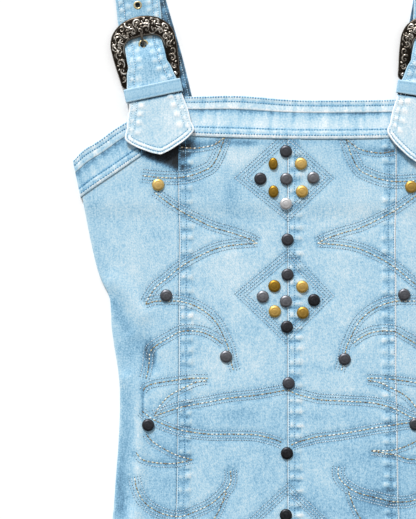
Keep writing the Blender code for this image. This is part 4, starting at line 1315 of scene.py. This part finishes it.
def make_strap(side):
    """The strap's wall with its two eyelet holes cut."""
    name, strip = side[0], strap_strips[side[0]]
    columns = np.concatenate([-1 + STRAP_EDGE, np.linspace(-0.93, 0.93, 33), 1 - STRAP_EDGE[::-1]])
    s, share = np.meshgrid(strip.s, columns, indexing="ij")
    u = share * strip.half_at(s)
    height, tint = strap_relief(strip, s, u)
    back = smooth((s - SHOULDER - strip.longer) / 6)
    outer = strip.place(s, u, STRAP / 2 + height * (1 - back))
    inner = strip.place(s, u, -STRAP / 2 - BACK_SHARE * height * back)
    points, quads = wall(outer, inner)
    # The back half's upper side, seen beyond the front half, is darker by painted shade; under each
    # eyelet's hole it is painted nearly black, a painted shadow.
    shade = -2.1 - 0.7 * np.sin(s / 7.3) * np.sin(s / 3.1 + u / 4.7)
    for hole_y, hole_x, radius in EYELETS:
        middle = placed(np.array([hole_x, hole_y, 0.0]), side)
        apart = np.linalg.norm(inner[..., :2] - middle[:2], axis=-1)
        shade = shade - 5.0 * smooth((radius + 1.2 - apart) / 1.0)
    hidden, turned = tint * 0.2 - 0.6, back > 0.5
    tints = np.ravel([np.where(turned, hidden, tint), np.where(turned, tint + shade, hidden)])
    made = make_piece(
        f"strap_{name}_cloth", points, quads, strap_denim, "denim_strap", (f"strap_{name}",), tint=tints
    )
    for hole_y, hole_x, radius in EYELETS:
        turn = np.linspace(0, 2 * math.pi, 32, endpoint=False)
        ring = [(hole_x + radius * math.cos(a), hole_y + radius * math.sin(a)) for a in turn]
        cut_hole(made, placed(np.array(ring), side), HOLE_LOW, HOLE_HIGH)


def cut_hole(piece, ring, low, high):
    """Cut an upright hole over a closed outline, and keep the result in the piece's own mesh."""
    first, second = ring[1] - ring[0], ring[2] - ring[0]
    if first[0] * second[1] < first[1] * second[0]:
        ring = ring[::-1]
    count = len(ring)
    points = [(x, y, z) for z in (low, high) for x, y in ring[:, :2]]
    faces = [tuple(range(count))[::-1], tuple(range(count, 2 * count))]
    faces += [(i, (i + 1) % count, (i + 1) % count + count, i + count) for i in range(count)]
    mesh = bpy.data.meshes.new("cutter")
    mesh.from_pydata([(x * MM, (y + Y_SHIFT) * MM, z * MM) for x, y, z in points], [], faces)
    cutter = bpy.data.objects.new("cutter", mesh)
    bpy.context.scene.collection.objects.link(cutter)
    step = piece.modifiers.new("hole", "BOOLEAN")
    step.object = cutter
    step.operation = "DIFFERENCE"
    bpy.context.view_layer.update()
    done = bpy.data.meshes.new_from_object(piece.evaluated_get(bpy.context.evaluated_depsgraph_get()))
    piece.modifiers.clear()
    piece.data = done
    bpy.data.objects.remove(cutter)


for side in SIDES:
    make_strap(side)

# %% [markdown]
# The tab is a folded strip on the band that turns round the buckle's bar and
# comes back. It shows only at its edges. The keeper is a plain sewn loop
# round the strap, on a rounded oblong.

# %% Tabs and keepers
KEEPER_POWER = 0.22
KEEPER_GROOVE = 2.4  # in from each edge, where it is sewn


def tab_rows():
    """The tab's middle line, with its half width and lean."""
    lower = [(-121.8, -32.0, 7.9), (-122.9, -20.0, 7.2), (-124.2, -10.0, 6.6)]
    rise = [(-13.0, 6.3), (-7.0, 5.2), (-1.0, 4.1), (3.0, 3.0)]
    lower += [tuple(buckle_plan(0.0, v, z)) for v, z in rise]
    turn = np.linspace(-math.pi / 2, math.pi / 2, 7)
    lower += [tuple(buckle_plan(0.0, BAR_V + WRAP * math.cos(a), BAR_Z + WRAP * math.sin(a))) for a in turn]
    lower += [tuple(buckle_plan(0.0, v, z)) for v, z in ((0.0, 6.9), (-7.0, 7.1), (-13.0, 7.8))]
    lower += [(-124.2, -10.0, 8.1), (-123.4, -16.0, 8.4)]
    return np.array([(*point, TAB_WIDTH / 2, BUCKLE_LEAN) for point in lower])


def make_tab(side):
    """The folded tab."""
    strip = Strip(tab_rows(), side, step=0.7)
    columns = np.concatenate([[-1, -0.985], np.linspace(-0.95, 0.95, 15), [0.985, 1]])
    s, share = np.meshgrid(strip.s, columns, indexing="ij")
    u = share * strip.half_at(s)
    points, quads = wall(strip.place(s, u, CLOTH / 2), strip.place(s, u, -CLOTH / 2))
    tint = np.full(len(points), -0.2)
    made = make_piece(
        f"tab_{side[0]}_cloth", points, quads, strap_denim, "denim_strap", (f"tab_{side[0]}",), tint=tint
    )


def keeper_loop(half_u, half_height, turn):
    """A rounded oblong: a circle whose cosine and sine are raised to a small power, their signs kept."""
    u = half_u * np.sign(np.cos(turn)) * np.abs(np.cos(turn)) ** KEEPER_POWER
    z = half_height * np.sign(np.sin(turn)) * np.abs(np.sin(turn)) ** KEEPER_POWER
    return np.stack([u, (KEEPER_TOP + STRAP + GAP) / 2 + z], -1)


def make_keeper(side):
    """The loop, with its long edges turned in and rounded."""
    turn = np.linspace(0, 2 * math.pi, 240, endpoint=False)
    half_z = (KEEPER_TOP - STRAP - GAP) / 2
    wide = KEEPER_V[1] - KEEPER_V[0]
    v = np.concatenate([EDGE, np.linspace(1.6, wide - 1.6, 11), wide - EDGE[::-1]]) + KEEPER_V[0]
    edge = np.minimum(v - KEEPER_V[0], KEEPER_V[1] - v)
    grids = []
    for inset in (0.12 * bell(edge - KEEPER_GROOVE, 0.6) - round_edge(edge), np.full(len(v), CLOTH)):
        loops = [keeper_loop(KEEPER_HALF - k, half_z - k, turn) for k in inset]
        rows = [buckle_plan(ring[:, 0], where, ring[:, 1]) for ring, where in zip(loops, v)]
        grids.append(placed(np.stack(rows, 1), side))
    points, quads = wall(grids[0], grids[1], closed=True)
    tint = np.tile(0.7 * bell(edge, 0.8) - 0.35 * bell(edge - KEEPER_GROOVE, 0.7), 2 * len(turn))
    name = f"keeper_{side[0]}"
    made = make_piece(f"{name}_cloth", points, quads, keeper_denim, "denim_keeper", (name,), tint=tint)


for side in SIDES:
    make_tab(side)
    make_keeper(side)

# %% [markdown]
# ## Buckles
#
# A cast horseshoe with a bevelled rim and a field of engraved scrolls. The
# scrolls are drawn in a flat frame, along and across the casting: curls
# that turn to alternate sides, bright on their crests over a dark stippled
# ground. A point of the surface is raised by how near it is to a line.

# %% Buckle form
# Half the outline: across and along of the outer edge, the same of the inner edge
BUCKLE = np.array([
    (26.0, 0.4, 22.6, 0.6), (28.3, 3.5, 20.8, 4.5), (29.0, 11.0, 19.6, 11.0), (30.3, 22.0, 19.1, 22.0),
    (31.1, 34.0, 19.0, 33.0), (30.9, 43.0, 18.2, 38.5), (27.6, 52.0, 15.7, 42.3), (20.4, 59.2, 11.5, 44.4),
    (10.8, 63.6, 6.0, 45.2), (0.0, 65.0, 0.0, 45.4),
])
BUCKLE_BEVEL = np.array([
    (0.0, 0.9), (0.07, 2.0), (0.14, 2.35), (0.5, 3.1), (0.86, 2.35), (0.93, 2.0), (1.0, 0.9)
])
BUCKLE_STEPS, BUCKLE_COLUMNS = 420, 42
CURL_PITCH = 7.6
CURL_HEIGHT = 0.6
CURL_FALL = 3.4  # radians of turn over which a curl's radius falls to 1/e
LEAVES = (0.3, 1.0, 1.7, 2.4)  # radians from a curl's tail to each of its leaves
BATCH = 400  # points of the lines that are measured at a time
# The cross bar: along it, and share of its radius
BAR_PROFILE = np.array([(-21.5, 0.7), (-21.2, 1.0), (21.2, 1.0), (21.5, 0.7)])


def scroll_lines(length, half_at):
    """Points of the raised lines: along and across in mm, how bright each is, and how wide.

    A curl's radius falls as exp(-turn / CURL_FALL) from its tail to its eye, and leaves fan out round it.
    """
    chance = np.random.default_rng(12)
    lines = []
    for k in range(int(length / CURL_PITCH)):
        middle = (k + 0.5) * CURL_PITCH
        half = float(half_at(middle))
        rows = (0.4, -0.44) if half > 6.2 else (0.1 * (-1) ** k,)
        for n, row in enumerate(rows):
            way = 1 if (k + n) % 2 else -1
            size = chance.uniform(0.9, 1.2) * min(half * (0.5 if len(rows) == 2 else 0.8), 4.6)
            lit, start = chance.uniform(0.55, 1.0), chance.uniform(0, 2 * math.pi)
            turn = np.linspace(-1.0, 2.0 * math.pi, 70)
            curl = size * np.exp(-(turn + 1.0) / CURL_FALL), way * turn + start
            strokes = [(*curl, 0.3 + 0.45 * bell(turn - 0.8, 1.3))]
            for leaf in LEAVES:
                out = np.linspace(1.15, 1.9, 16) * size
                taper = 0.55 - 0.4 * (out / size - 1.15) / 0.75
                angle = start - way * (1.4 + leaf + 0.7 * (out / size - 1))
                strokes.append((out, angle, taper))
            for radius, angle, wide in strokes:
                x, y = middle + radius * np.cos(angle), row * half + radius * np.sin(angle)
                lines.append(np.stack([x, y, lit * (0.75 + 0.25 * np.cos(angle)), wide], -1))
    return np.concatenate(lines)


def make_buckle(side):
    """The frame as a wall over its flat underside, and its cross bar as a round rod."""
    rows = np.vstack([BUCKLE, BUCKLE[-2::-1] * (-1, 1, -1, 1)])
    fine = curve(rows, np.linspace(0, len(rows) - 1, BUCKLE_STEPS))
    share = np.linspace(0, 1, BUCKLE_COLUMNS)
    u = fine[:, [0]] * (1 - share) + fine[:, [2]] * share
    v = fine[:, [1]] * (1 - share) + fine[:, [3]] * share
    middle = (fine[:, :2] + fine[:, 2:]) / 2
    along = np.broadcast_to(reach(middle)[:, None], u.shape)
    half = np.linalg.norm(fine[:, :2] - fine[:, 2:], axis=1)[:, None] / 2
    across = (share[None, :] - 0.5) * 2 * half
    drawn = scroll_lines(float(along[-1, 0]), lambda a: np.interp(a, along[:, 0], half[:, 0]))
    near, bright = np.full(u.shape, 1e9), np.zeros(u.shape)
    for some in np.split(drawn, range(BATCH, len(drawn), BATCH)):
        apart = (along[..., None] - some[:, 0]) ** 2 + (across[..., None] - some[:, 1]) ** 2
        apart = apart / some[:, 3] ** 2
        least = apart.min(axis=-1)
        bright = np.where(least < near, some[apart.argmin(axis=-1), 2], bright)
        near = np.minimum(near, least)
    field = smooth((half - np.abs(across) - 1.3) / 0.5)
    curl = field * np.exp(-near)
    rim = bell(half - np.abs(across) - 1.25, 0.35)
    base = np.interp(np.broadcast_to(share, u.shape), BUCKLE_BEVEL[:, 0], BUCKLE_BEVEL[:, 1])
    low = BUCKLE_LOW + BUCKLE_RISE * v
    top = low + base + CURL_HEIGHT * (curl - 0.5 * field) - 0.35 * rim
    stipple = np.random.default_rng(8).uniform(0, 1, u.shape)
    tone = field * (0.14 + 1.0 * curl * bright + 0.22 * stipple) + (1 - field) * 0.4 - 0.3 * rim
    # A bright line along the inner edge of the arch's upper part: a painted highlight.
    tone = tone + 0.5 * bell(share - 0.93, 0.03) * smooth((v - 30) / 6)
    outer, inner = (placed(buckle_plan(u, v, z), side) for z in (top, low))
    points, quads = wall(outer, inner)
    tones = np.concatenate([tone.ravel(), np.full(tone.size, 0.3)])
    name = f"buckle_{side[0]}"
    make_piece(f"{name}_frame", points, quads, silver, "antique_silver", (name,), sharp=70, tone=tones)
    turn = np.linspace(0, 2 * math.pi, 20, endpoint=False)
    ends, size = BAR_PROFILE[:, [0]], BAR_RADIUS * BAR_PROFILE[:, [1]]
    rod = buckle_plan(ends, BAR_V + size * np.cos(turn), BAR_Z + size * np.sin(turn))
    points, quads = tube(placed(rod, side))
    tone = np.full(len(points), 0.4)
    make_piece(f"{name}_bar", points, quads, silver, "antique_silver", tone=tone)


def tube(rings):
    """A closed tube through rings of points: quads round it, and each end drawn in small and filled."""
    ends = [rings[k].mean(axis=0) + (rings[k] - rings[k].mean(axis=0)) * 0.02 for k in (0, -1)]
    rings = np.concatenate([ends[0][None], rings, ends[1][None]])
    count, around = rings.shape[:2]
    index = np.arange(count * around).reshape(count, around)
    nxt = np.roll(index, -1, axis=1)
    quads = [np.stack([index[:-1], nxt[:-1], nxt[1:], index[1:]], -1).reshape(-1, 4)]
    for ring, flip in ((index[0], True), (index[-1], False)):
        half = around // 2
        for k in range(half - 1):
            quad = np.array([[ring[k], ring[k + 1], ring[around - 2 - k], ring[around - 1 - k]]])
            quads.append(quad[:, ::-1] if flip else quad)
    return rings.reshape(-1, 3), np.concatenate(quads)


PRONG_HALF = (1.2, 0.6)  # half its width and half its thickness
# From the bar to its point: along the buckle, and height
PRONG_PATH = [(14.0, 5.6), (24.0, 4.3), (31.0, 3.1), (35.0, 3.0), (40.6, 6.2), (44.0, 8.0), (50.0, 9.2)]


def make_prong(side):
    """The prong: a flattened rod that curls round the bar, runs under the strap and rests on the arch."""
    ring, curl = BAR_RADIUS + GAP + PRONG_HALF[1], np.radians(np.linspace(-230, 55, 12))
    path = [(BAR_V + ring * math.cos(a), BAR_Z + ring * math.sin(a)) for a in curl]
    path = np.array(path + PRONG_PATH)
    nodes = reach(path)
    s = np.linspace(0, nodes[-1], 150)
    fine = through(nodes, path, s)
    along = np.gradient(fine, s, axis=0)
    normal = np.stack([-along[:, 1], along[:, 0]], -1) / np.linalg.norm(along, axis=1)[:, None]
    turn = np.linspace(0, 2 * math.pi, 16, endpoint=False)
    size = np.interp(s, [0, nodes[-1] - 6, nodes[-1]], [1.0, 1.0, 0.72])[:, None]
    u, off = PRONG_HALF[0] * size * np.cos(turn), PRONG_HALF[1] * size * np.sin(turn)
    v = fine[:, [0]] + off * normal[:, [0]]
    z = fine[:, [1]] + off * normal[:, [1]]
    points, quads = tube(placed(buckle_plan(u, v, z), side))
    name = f"prong_{side[0]}"
    tone = np.full(len(points), 0.55)
    make_piece(f"{name}_bar", points, quads, silver, "antique_silver", (name,), sharp=70, tone=tone)


for side in SIDES:
    make_buckle(side)
    make_prong(side)

# %% [markdown]
# ## Eyelets and studs
#
# Both are turned shapes: a profile carried round an axis. An eyelet is a
# rolled ring through the strap. A stud is a thin cap with a rolled rim and a
# faint ring on its dome. The place of each stud comes from its solid.

# %% Eyelets
EYELET_PROFILE = np.array([
    (0.15, -0.9), (0.05, -0.3), (0.0, 0.4), (0.15, 0.95), (0.6, 1.25), (1.1, 1.2), (1.5, 0.95), (1.6, 0.75),
    (0.9, 0.7), (0.45, 0.3), (0.4, -0.9),
])
EYELET_SEGMENTS = 40


def lathe(profile, segments):
    """Rings of a profile of radius and height carried round the z axis."""
    turn = np.linspace(0, 2 * math.pi, segments, endpoint=False)
    radius, height = profile[:, [0]], profile[:, [1]]
    return np.stack(np.broadcast_arrays(radius * np.cos(turn), radius * np.sin(turn), height), -1)


def ring_quads(rings, around):
    """Quads of a closed ring of rings, as round a doughnut."""
    index = np.arange(rings * around).reshape(rings, around)
    nxt = np.roll(index, -1, axis=1)
    below, next_below = np.roll(index, -1, axis=0), np.roll(nxt, -1, axis=0)
    return np.stack([index, nxt, next_below, below], -1).reshape(-1, 4)


for side in SIDES:
    strip = strap_strips[side[0]]
    front = slice(0, len(strip.s) // 2)
    parts = []
    for hole_y, hole_x, radius in EYELETS:
        rings = lathe(EYELET_PROFILE * (1.15, 1.0) + (radius - 0.05, 0.0), EYELET_SEGMENTS)
        walked = np.interp(hole_y, strip.middle[front, 1], strip.s[front])
        height = strip.place(walked, 0.0, 0.0)[2]
        where = placed(np.array([hole_x, hole_y, 0.0]), side)
        parts.append(rings.reshape(-1, 3) + (where[0], where[1], height))
    points = np.concatenate(parts)
    faces = ring_quads(len(EYELET_PROFILE), EYELET_SEGMENTS)
    quads = np.concatenate([faces + k * len(part) for k, part in enumerate(parts)])
    tone = np.full(len(points), 0.85)
    make_piece(f"eyelets_{side[0]}", points, quads, eyelet_metal, "antique_brass", sharp=70, tone=tone)

# %% Studs
STUD_PROFILE = np.array([
    (0.05, 2.34), (1.2, 2.33), (2.3, 2.26), (2.8, 2.12), (3.25, 2.2), (4.0, 2.08), (4.7, 1.82), (5.25, 1.5),
    (5.65, 1.15), (5.85, 0.8), (5.9, 0.5), (5.8, 0.22), (5.5, 0.04), (4.0, 0.0), (0.05, 0.0),
])
STUD_SEGMENTS = 32
STUD_RADIUS = 5.9
# How bright each stud is: those not named here have the tone of their group
STUD_TONES = {
    "stud_diamond_1_1": 0.3, "stud_diamond_1_2": 0.3, "stud_diamond_1_3": 0.85, "stud_diamond_1_4": 0.22,
    "stud_diamond_1_5": 0.5, "stud_diamond_1_6": 0.6, "stud_diamond_1_7": 0.32, "stud_diamond_1_8": 0.8,
    "stud_diamond_1_9": 1.0, "stud_diamond_2_1": 0.28, "stud_diamond_2_2": 0.35, "stud_diamond_2_3": 0.75,
    "stud_diamond_2_4": 0.58, "stud_diamond_2_5": 0.55, "stud_diamond_2_6": 0.08, "stud_diamond_2_7": 0.75,
    "stud_diamond_2_8": 0.5, "stud_diamond_2_9": 0.12, "stud_diamond_3_1": 0.06, "stud_diamond_3_2": 0.4,
    "stud_diamond_3_3": 0.6, "stud_seam_1": 0.28, "stud_seam_2": 0.38, "stud_seam_3": 0.06,
    "stud_side_1": 0.9, "stud_side_2": 0.6, "stud_side_3": 0.45, "stud_side_4": 0.45, "stud_side_5": 0.5,
    "stud_side_6": 0.4, "stud_side_7": 0.15, "stud_side_8": 0.3,
}
# Two caps sit askew and look narrow from above: their width as a share, and
# their tilt in degrees
SKEW_STUDS = {"stud_diamond_1_2": (0.74, 4.0), "stud_diamond_1_7": (0.82, 3.0)}
BRASS_STUDS = {f"stud_diamond_{d}_{n}" for d in (1, 2, 3) for n in (2, 3, 7, 8)} | {
    "stud_side_1", "stud_side_2"
}


def stud_rings(name):
    """A stud's rings, set where its solid is; a skew one is narrowed and tilted."""
    low, high = (np.array(corner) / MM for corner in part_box(name))
    centre = (low + high) / 2 - (0, Y_SHIFT, 0)
    rings = lathe(STUD_PROFILE, STUD_SEGMENTS)
    share, tilt = SKEW_STUDS.get(name, (1.0, 0.0))
    rings[..., 0] *= share
    rings[..., 2] += np.sin(math.radians(tilt)) * (rings[..., 0] + STUD_RADIUS * share)
    return rings + (centre[0], centre[1], low[2])


def make_studs(label, names, finish, slot):
    """All studs of one finish as one piece, each a closed cap."""
    points, quads, tones = [], [], []
    for name in names:
        some, faces = tube(stud_rings(name))
        quads.append(faces + sum(len(p) for p in points))
        points.append(some)
        tones.append(np.full(len(some), STUD_TONES.get(name, 0.4)))
    everything = np.concatenate(points)
    return make_piece(
        label, everything, np.concatenate(quads), finish, slot, names, sharp=70, tone=np.concatenate(tones)
    )


studs = sorted(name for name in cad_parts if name.startswith("stud_"))
make_studs("studs_brass", [n for n in studs if n in BRASS_STUDS], brass, "antique_brass")
make_studs("studs_gunmetal", [n for n in studs if n not in BRASS_STUDS], gunmetal, "gunmetal")

# %% [markdown]
# ## Stitches
#
# Every row is real thread: a stitch is a grain of three rings of four points,
# plump in the middle and drawn into the cloth at its ends. The needle's holes
# are dark grains between the stitches, painted shade, and they and the thinner
# threads of seams and hems have a plainer grain of two rings.
# All the stitches of a row's kind are made at once, and each point is laid on
# the cloth by the same function that shaped it.

# %% Stitch tool
# Rings of a grain: across the stitch and up from the cloth, as shares of its size
DRAWN_RING = ((-0.22, -0.35), (0.22, -0.35), (0.2, 0.1), (-0.2, 0.1))
PLUMP_RING = ((-0.5, -0.3), (0.5, -0.3), (0.34, 0.75), (-0.34, 0.75))
PLAIN_RING = ((-0.4, -0.35), (0.4, -0.35), (0.34, 0.5), (-0.34, 0.5))


def thread_grain(*rings):
    """Points and quads of one stitch through rings of four points, each with its share along the stitch."""
    points = [(along, *corner) for along, ring in rings for corner in ring]
    last = 4 * (len(rings) - 1)
    quads = [(3, 2, 1, 0), (last, last + 1, last + 2, last + 3)]
    for low in range(0, last, 4):
        high = low + 4
        quads += [(low + k, low + (k + 1) % 4, high + (k + 1) % 4, high + k) for k in range(4)]
    return np.array(points), np.array(quads)


FULL_GRAIN = thread_grain((-0.5, DRAWN_RING), (0.0, PLUMP_RING), (0.5, DRAWN_RING))
PLAIN_GRAIN = thread_grain((-0.5, PLAIN_RING), (0.5, PLAIN_RING))
FULL_KINDS = ("gold", "fine", "band")
# Pitch, length, width, height in mm
STITCH = {
    "gold": (4.1, 2.1, 1.6, 0.75), "gold_hole": (4.1, 1.2, 1.3, 0.2), "fine": (2.4, 1.3, 1.15, 0.45),
    "fine_hole": (2.4, 1.1, 1.2, 0.2), "seam": (2.4, 1.5, 0.9, 0.4), "band": (2.5, 1.7, 1.75, 0.5),
}


def sew(name, lines, kind, place, finish, slot, seed, keep=None, tones=(0.0, 1.0), phase=0.5):
    """Set stitches at even steps along lines of surface parameters, and lay each on its surface."""
    chance = np.random.default_rng(seed)
    pitch, length, width, height = STITCH[kind]
    grain, faces = FULL_GRAIN if kind in FULL_KINDS else PLAIN_GRAIN
    centres, ways = [], []
    for line in lines:
        walked = reach(line)
        at = np.arange(pitch * phase, walked[-1], pitch)
        if not len(at):
            continue
        at = at + chance.uniform(-0.06, 0.06, len(at)) * pitch
        spot, ahead, behind = (
            np.stack([np.interp(at + more, walked, line[:, k]) for k in (0, 1)], -1)
            for more in (0.0, 0.5, -0.5)
        )
        centres.append(spot)
        ways.append((ahead - behind) / np.linalg.norm(ahead - behind, axis=1)[:, None])
    centres, ways = np.concatenate(centres), np.concatenate(ways)
    if keep is not None:
        kept = keep(centres[:, 0], centres[:, 1])
        centres, ways = centres[kept], ways[kept]
    sizes = chance.uniform(0.85, 1.15, (len(centres), 1)) * length
    side = np.stack([-ways[:, 1], ways[:, 0]], -1)
    flat = centres[:, None, :] + ways[:, None, :] * (sizes * grain[:, 0])[..., None]
    flat = flat + side[:, None, :] * (width * grain[:, 1])[None, :, None]
    lift = np.broadcast_to(height * grain[:, 2], flat.shape[:2])
    points = place(flat[..., 0].ravel(), flat[..., 1].ravel(), lift.ravel())
    quads = (faces[None] + len(grain) * np.arange(len(centres))[:, None, None]).reshape(-1, 4)
    drift = np.convolve(chance.uniform(0, 1, len(centres) + 8), np.ones(9) / 9, "valid")
    tone = np.clip(0.8 * chance.uniform(0, 1, len(centres)) + 1.1 * (drift - 0.5) + 0.1, 0, 1)
    tone = tones[0] + (tones[1] - tones[0]) * tone
    print(name, "stitches:", len(centres))
    return make_piece(name, points, quads, finish, slot, sharp=180, tone=np.repeat(tone, len(grain)))


def on_front(x, y, lift):
    """A point on the front panels, by its plan."""
    return np.stack([x, y, front_top(x, y) + lift], -1)


def clear_of_band(x, y):
    """Whether a stitch is on a front panel: below the band and inside the side seam."""
    return (y < band_edges(x)[1] - 1.2) & (np.abs(x) < half_width(y) - 1.5) & (y > HEM + 1)


def level_rows(along, depths):
    """A row of places along a surface at each of some depths across it."""
    return [np.stack([along, np.full(len(along), depth)], -1) for depth in depths]


# %% Sewing of the front
sew("stitches_gold", gold_lines, "gold", on_front, gold_thread, "denim", 31, clear_of_band)
# The needle holes of both rows are dark grains between the stitches: painted shade in each hole.
sew(
    "stitch_holes", gold_lines, "gold_hole", on_front, gold_thread, "denim", 31, clear_of_band, (0.0, 0.12),
    0.0,
)
sew("stitches_fine", fine_lines, "fine", on_front, fine_thread, "denim", 32, clear_of_band, (0.45, 0.9))
sew(
    "stitch_holes_fine", fine_lines, "fine_hole", on_front, fine_thread, "denim", 32, clear_of_band,
    (0.0, 0.5), 0.0,
)

# %% Seams and hem
SEAM_ROWS = (1.7, 6.9)  # in from the fold of each felled seam
HEM_ROWS = (2.6, 19.5)  # up from the hem
seam_y = np.linspace(-38.0, HEM + 1.5, 700)
seam_lines = []
for start, way in felled_seams(seam_y):
    seam_lines += [np.stack([start + way * row, seam_y], -1) for row in SEAM_ROWS]
sew(
    "stitches_seam", seam_lines, "seam", on_front, blue_thread, "denim", 33, clear_of_band, tones=(0.3, 1.0)
)
hem_x = np.linspace(-196, 196, 400)
hem_lines = level_rows(hem_x, [HEM + row for row in HEM_ROWS])
sew("stitches_hem", hem_lines, "seam", on_front, pale_thread, "denim", 34, clear_of_band)

# %% Band
BAND_ROWS = (1.1, 5.2, 28.0, 33.2)  # down from the top edge
rows = level_rows(np.linspace(-front_reach + 1, front_reach - 1, 300), BAND_ROWS)
sew("stitches_band_front", rows, "band", front_band_place, blue_thread, "denim_band", 35)
rows = level_rows(np.linspace(1, SIDE_BAND_LENGTH - 1, 200), BAND_ROWS)
for side, sign in (("left", -1), ("right", 1)):
    sew(
        f"stitches_band_{side}", rows, "band", side_band_place(sign), blue_thread, "denim_band", 36,
        tones=(0.0, 0.6),
    )


# %% Straps
def strap_rows(strip, first, last):
    """Stitch rows of a stretch of strap, up each side."""
    s = strip.s[(strip.s > first) & (strip.s < last)]
    return [
        np.stack([s, way * (strip.half_at(s) - inset)], -1)
        for inset in STRAP_ROWS_IN
        for way in (-1, 1)
    ]


def tip_rows(strip):
    """Two rows round the tip and up its long sides: its outline, drawn in to the grooves by the piping."""
    s = np.concatenate([strip.s[::-1], strip.s])
    u = np.concatenate([strip.half[::-1], -strip.half])
    near = s < PIPED_LENGTH
    line = even_line(np.stack([s[near], u[near]], -1), 0.7)
    return [inside_line(line, inset) for inset, _, _ in GROOVES]


def inside_line(line, inset):
    """A line moved in along its normals, without the points that end nearer to it than the inset."""
    ahead = np.gradient(line, axis=0)
    normal = np.stack([ahead[:, 1], -ahead[:, 0]], -1) / np.linalg.norm(ahead, axis=1)[:, None]
    if (normal[:, 0] * (PIPED_LENGTH - line[:, 0])).sum() < 0:
        normal = -normal
    moved = line + normal * inset
    clear = np.linalg.norm(moved[:, None] - line[None], axis=2).min(axis=1) > inset * 0.97
    return moved[clear]


for side in SIDES:
    strip = strap_strips[side[0]]

    def on_strap(s, u, lift, strip=strip):
        """A point on the strap's outer side."""
        return strip.place(s, u, STRAP / 2 + strap_relief(strip, s, u)[0] + lift)

    def on_back(s, u, lift, strip=strip):
        """A point on the upper side of the strap's back half, which is its inner side."""
        return strip.place(s, -u, -STRAP / 2 - BACK_SHARE * strap_relief(strip, s, -u)[0] - lift)

    front_rows = strap_rows(strip, PIPED_LENGTH, SHOULDER + strip.longer - 2)
    sew(f"stitches_strap_{side[0]}", front_rows, "seam", on_strap, pale_thread, "denim_strap", 41)
    sew(f"stitches_tip_{side[0]}", tip_rows(strip), "seam", on_strap, blue_thread, "denim_strap", 42)
    back_rows = strap_rows(strip, SHOULDER + strip.longer + 8, strip.length - 4)
    # The back half's stitches are darker too: painted shade.
    sew(
        f"stitches_strap_back_{side[0]}", back_rows, "seam", on_back, pale_thread, "denim_strap", 43,
        tones=(0.0, 0.5),
    )

# %% [markdown]
# ## Floor
#
# The table is plain and white, just below the dress.

# %% Floor
FLOOR_Z = -0.2 * MM
FLOOR_HALF = 3.0  # metres
FLOOR_WHITE = 0.93
floor_mesh = bpy.data.meshes.new("floor")
corners = [(x * FLOOR_HALF, y * FLOOR_HALF, FLOOR_Z) for x, y in ((-1, -1), (1, -1), (1, 1), (-1, 1))]
floor_mesh.from_pydata(corners, [], [(0, 1, 2, 3)])
floor = bpy.data.objects.new("floor", floor_mesh)
bpy.context.scene.collection.objects.link(floor)
white, _, white_shader = new_material("white_table", 0.9)
white_shader.inputs["Base Color"].default_value = (FLOOR_WHITE, FLOOR_WHITE, FLOOR_WHITE, 1.0)
floor_mesh.materials.append(white)
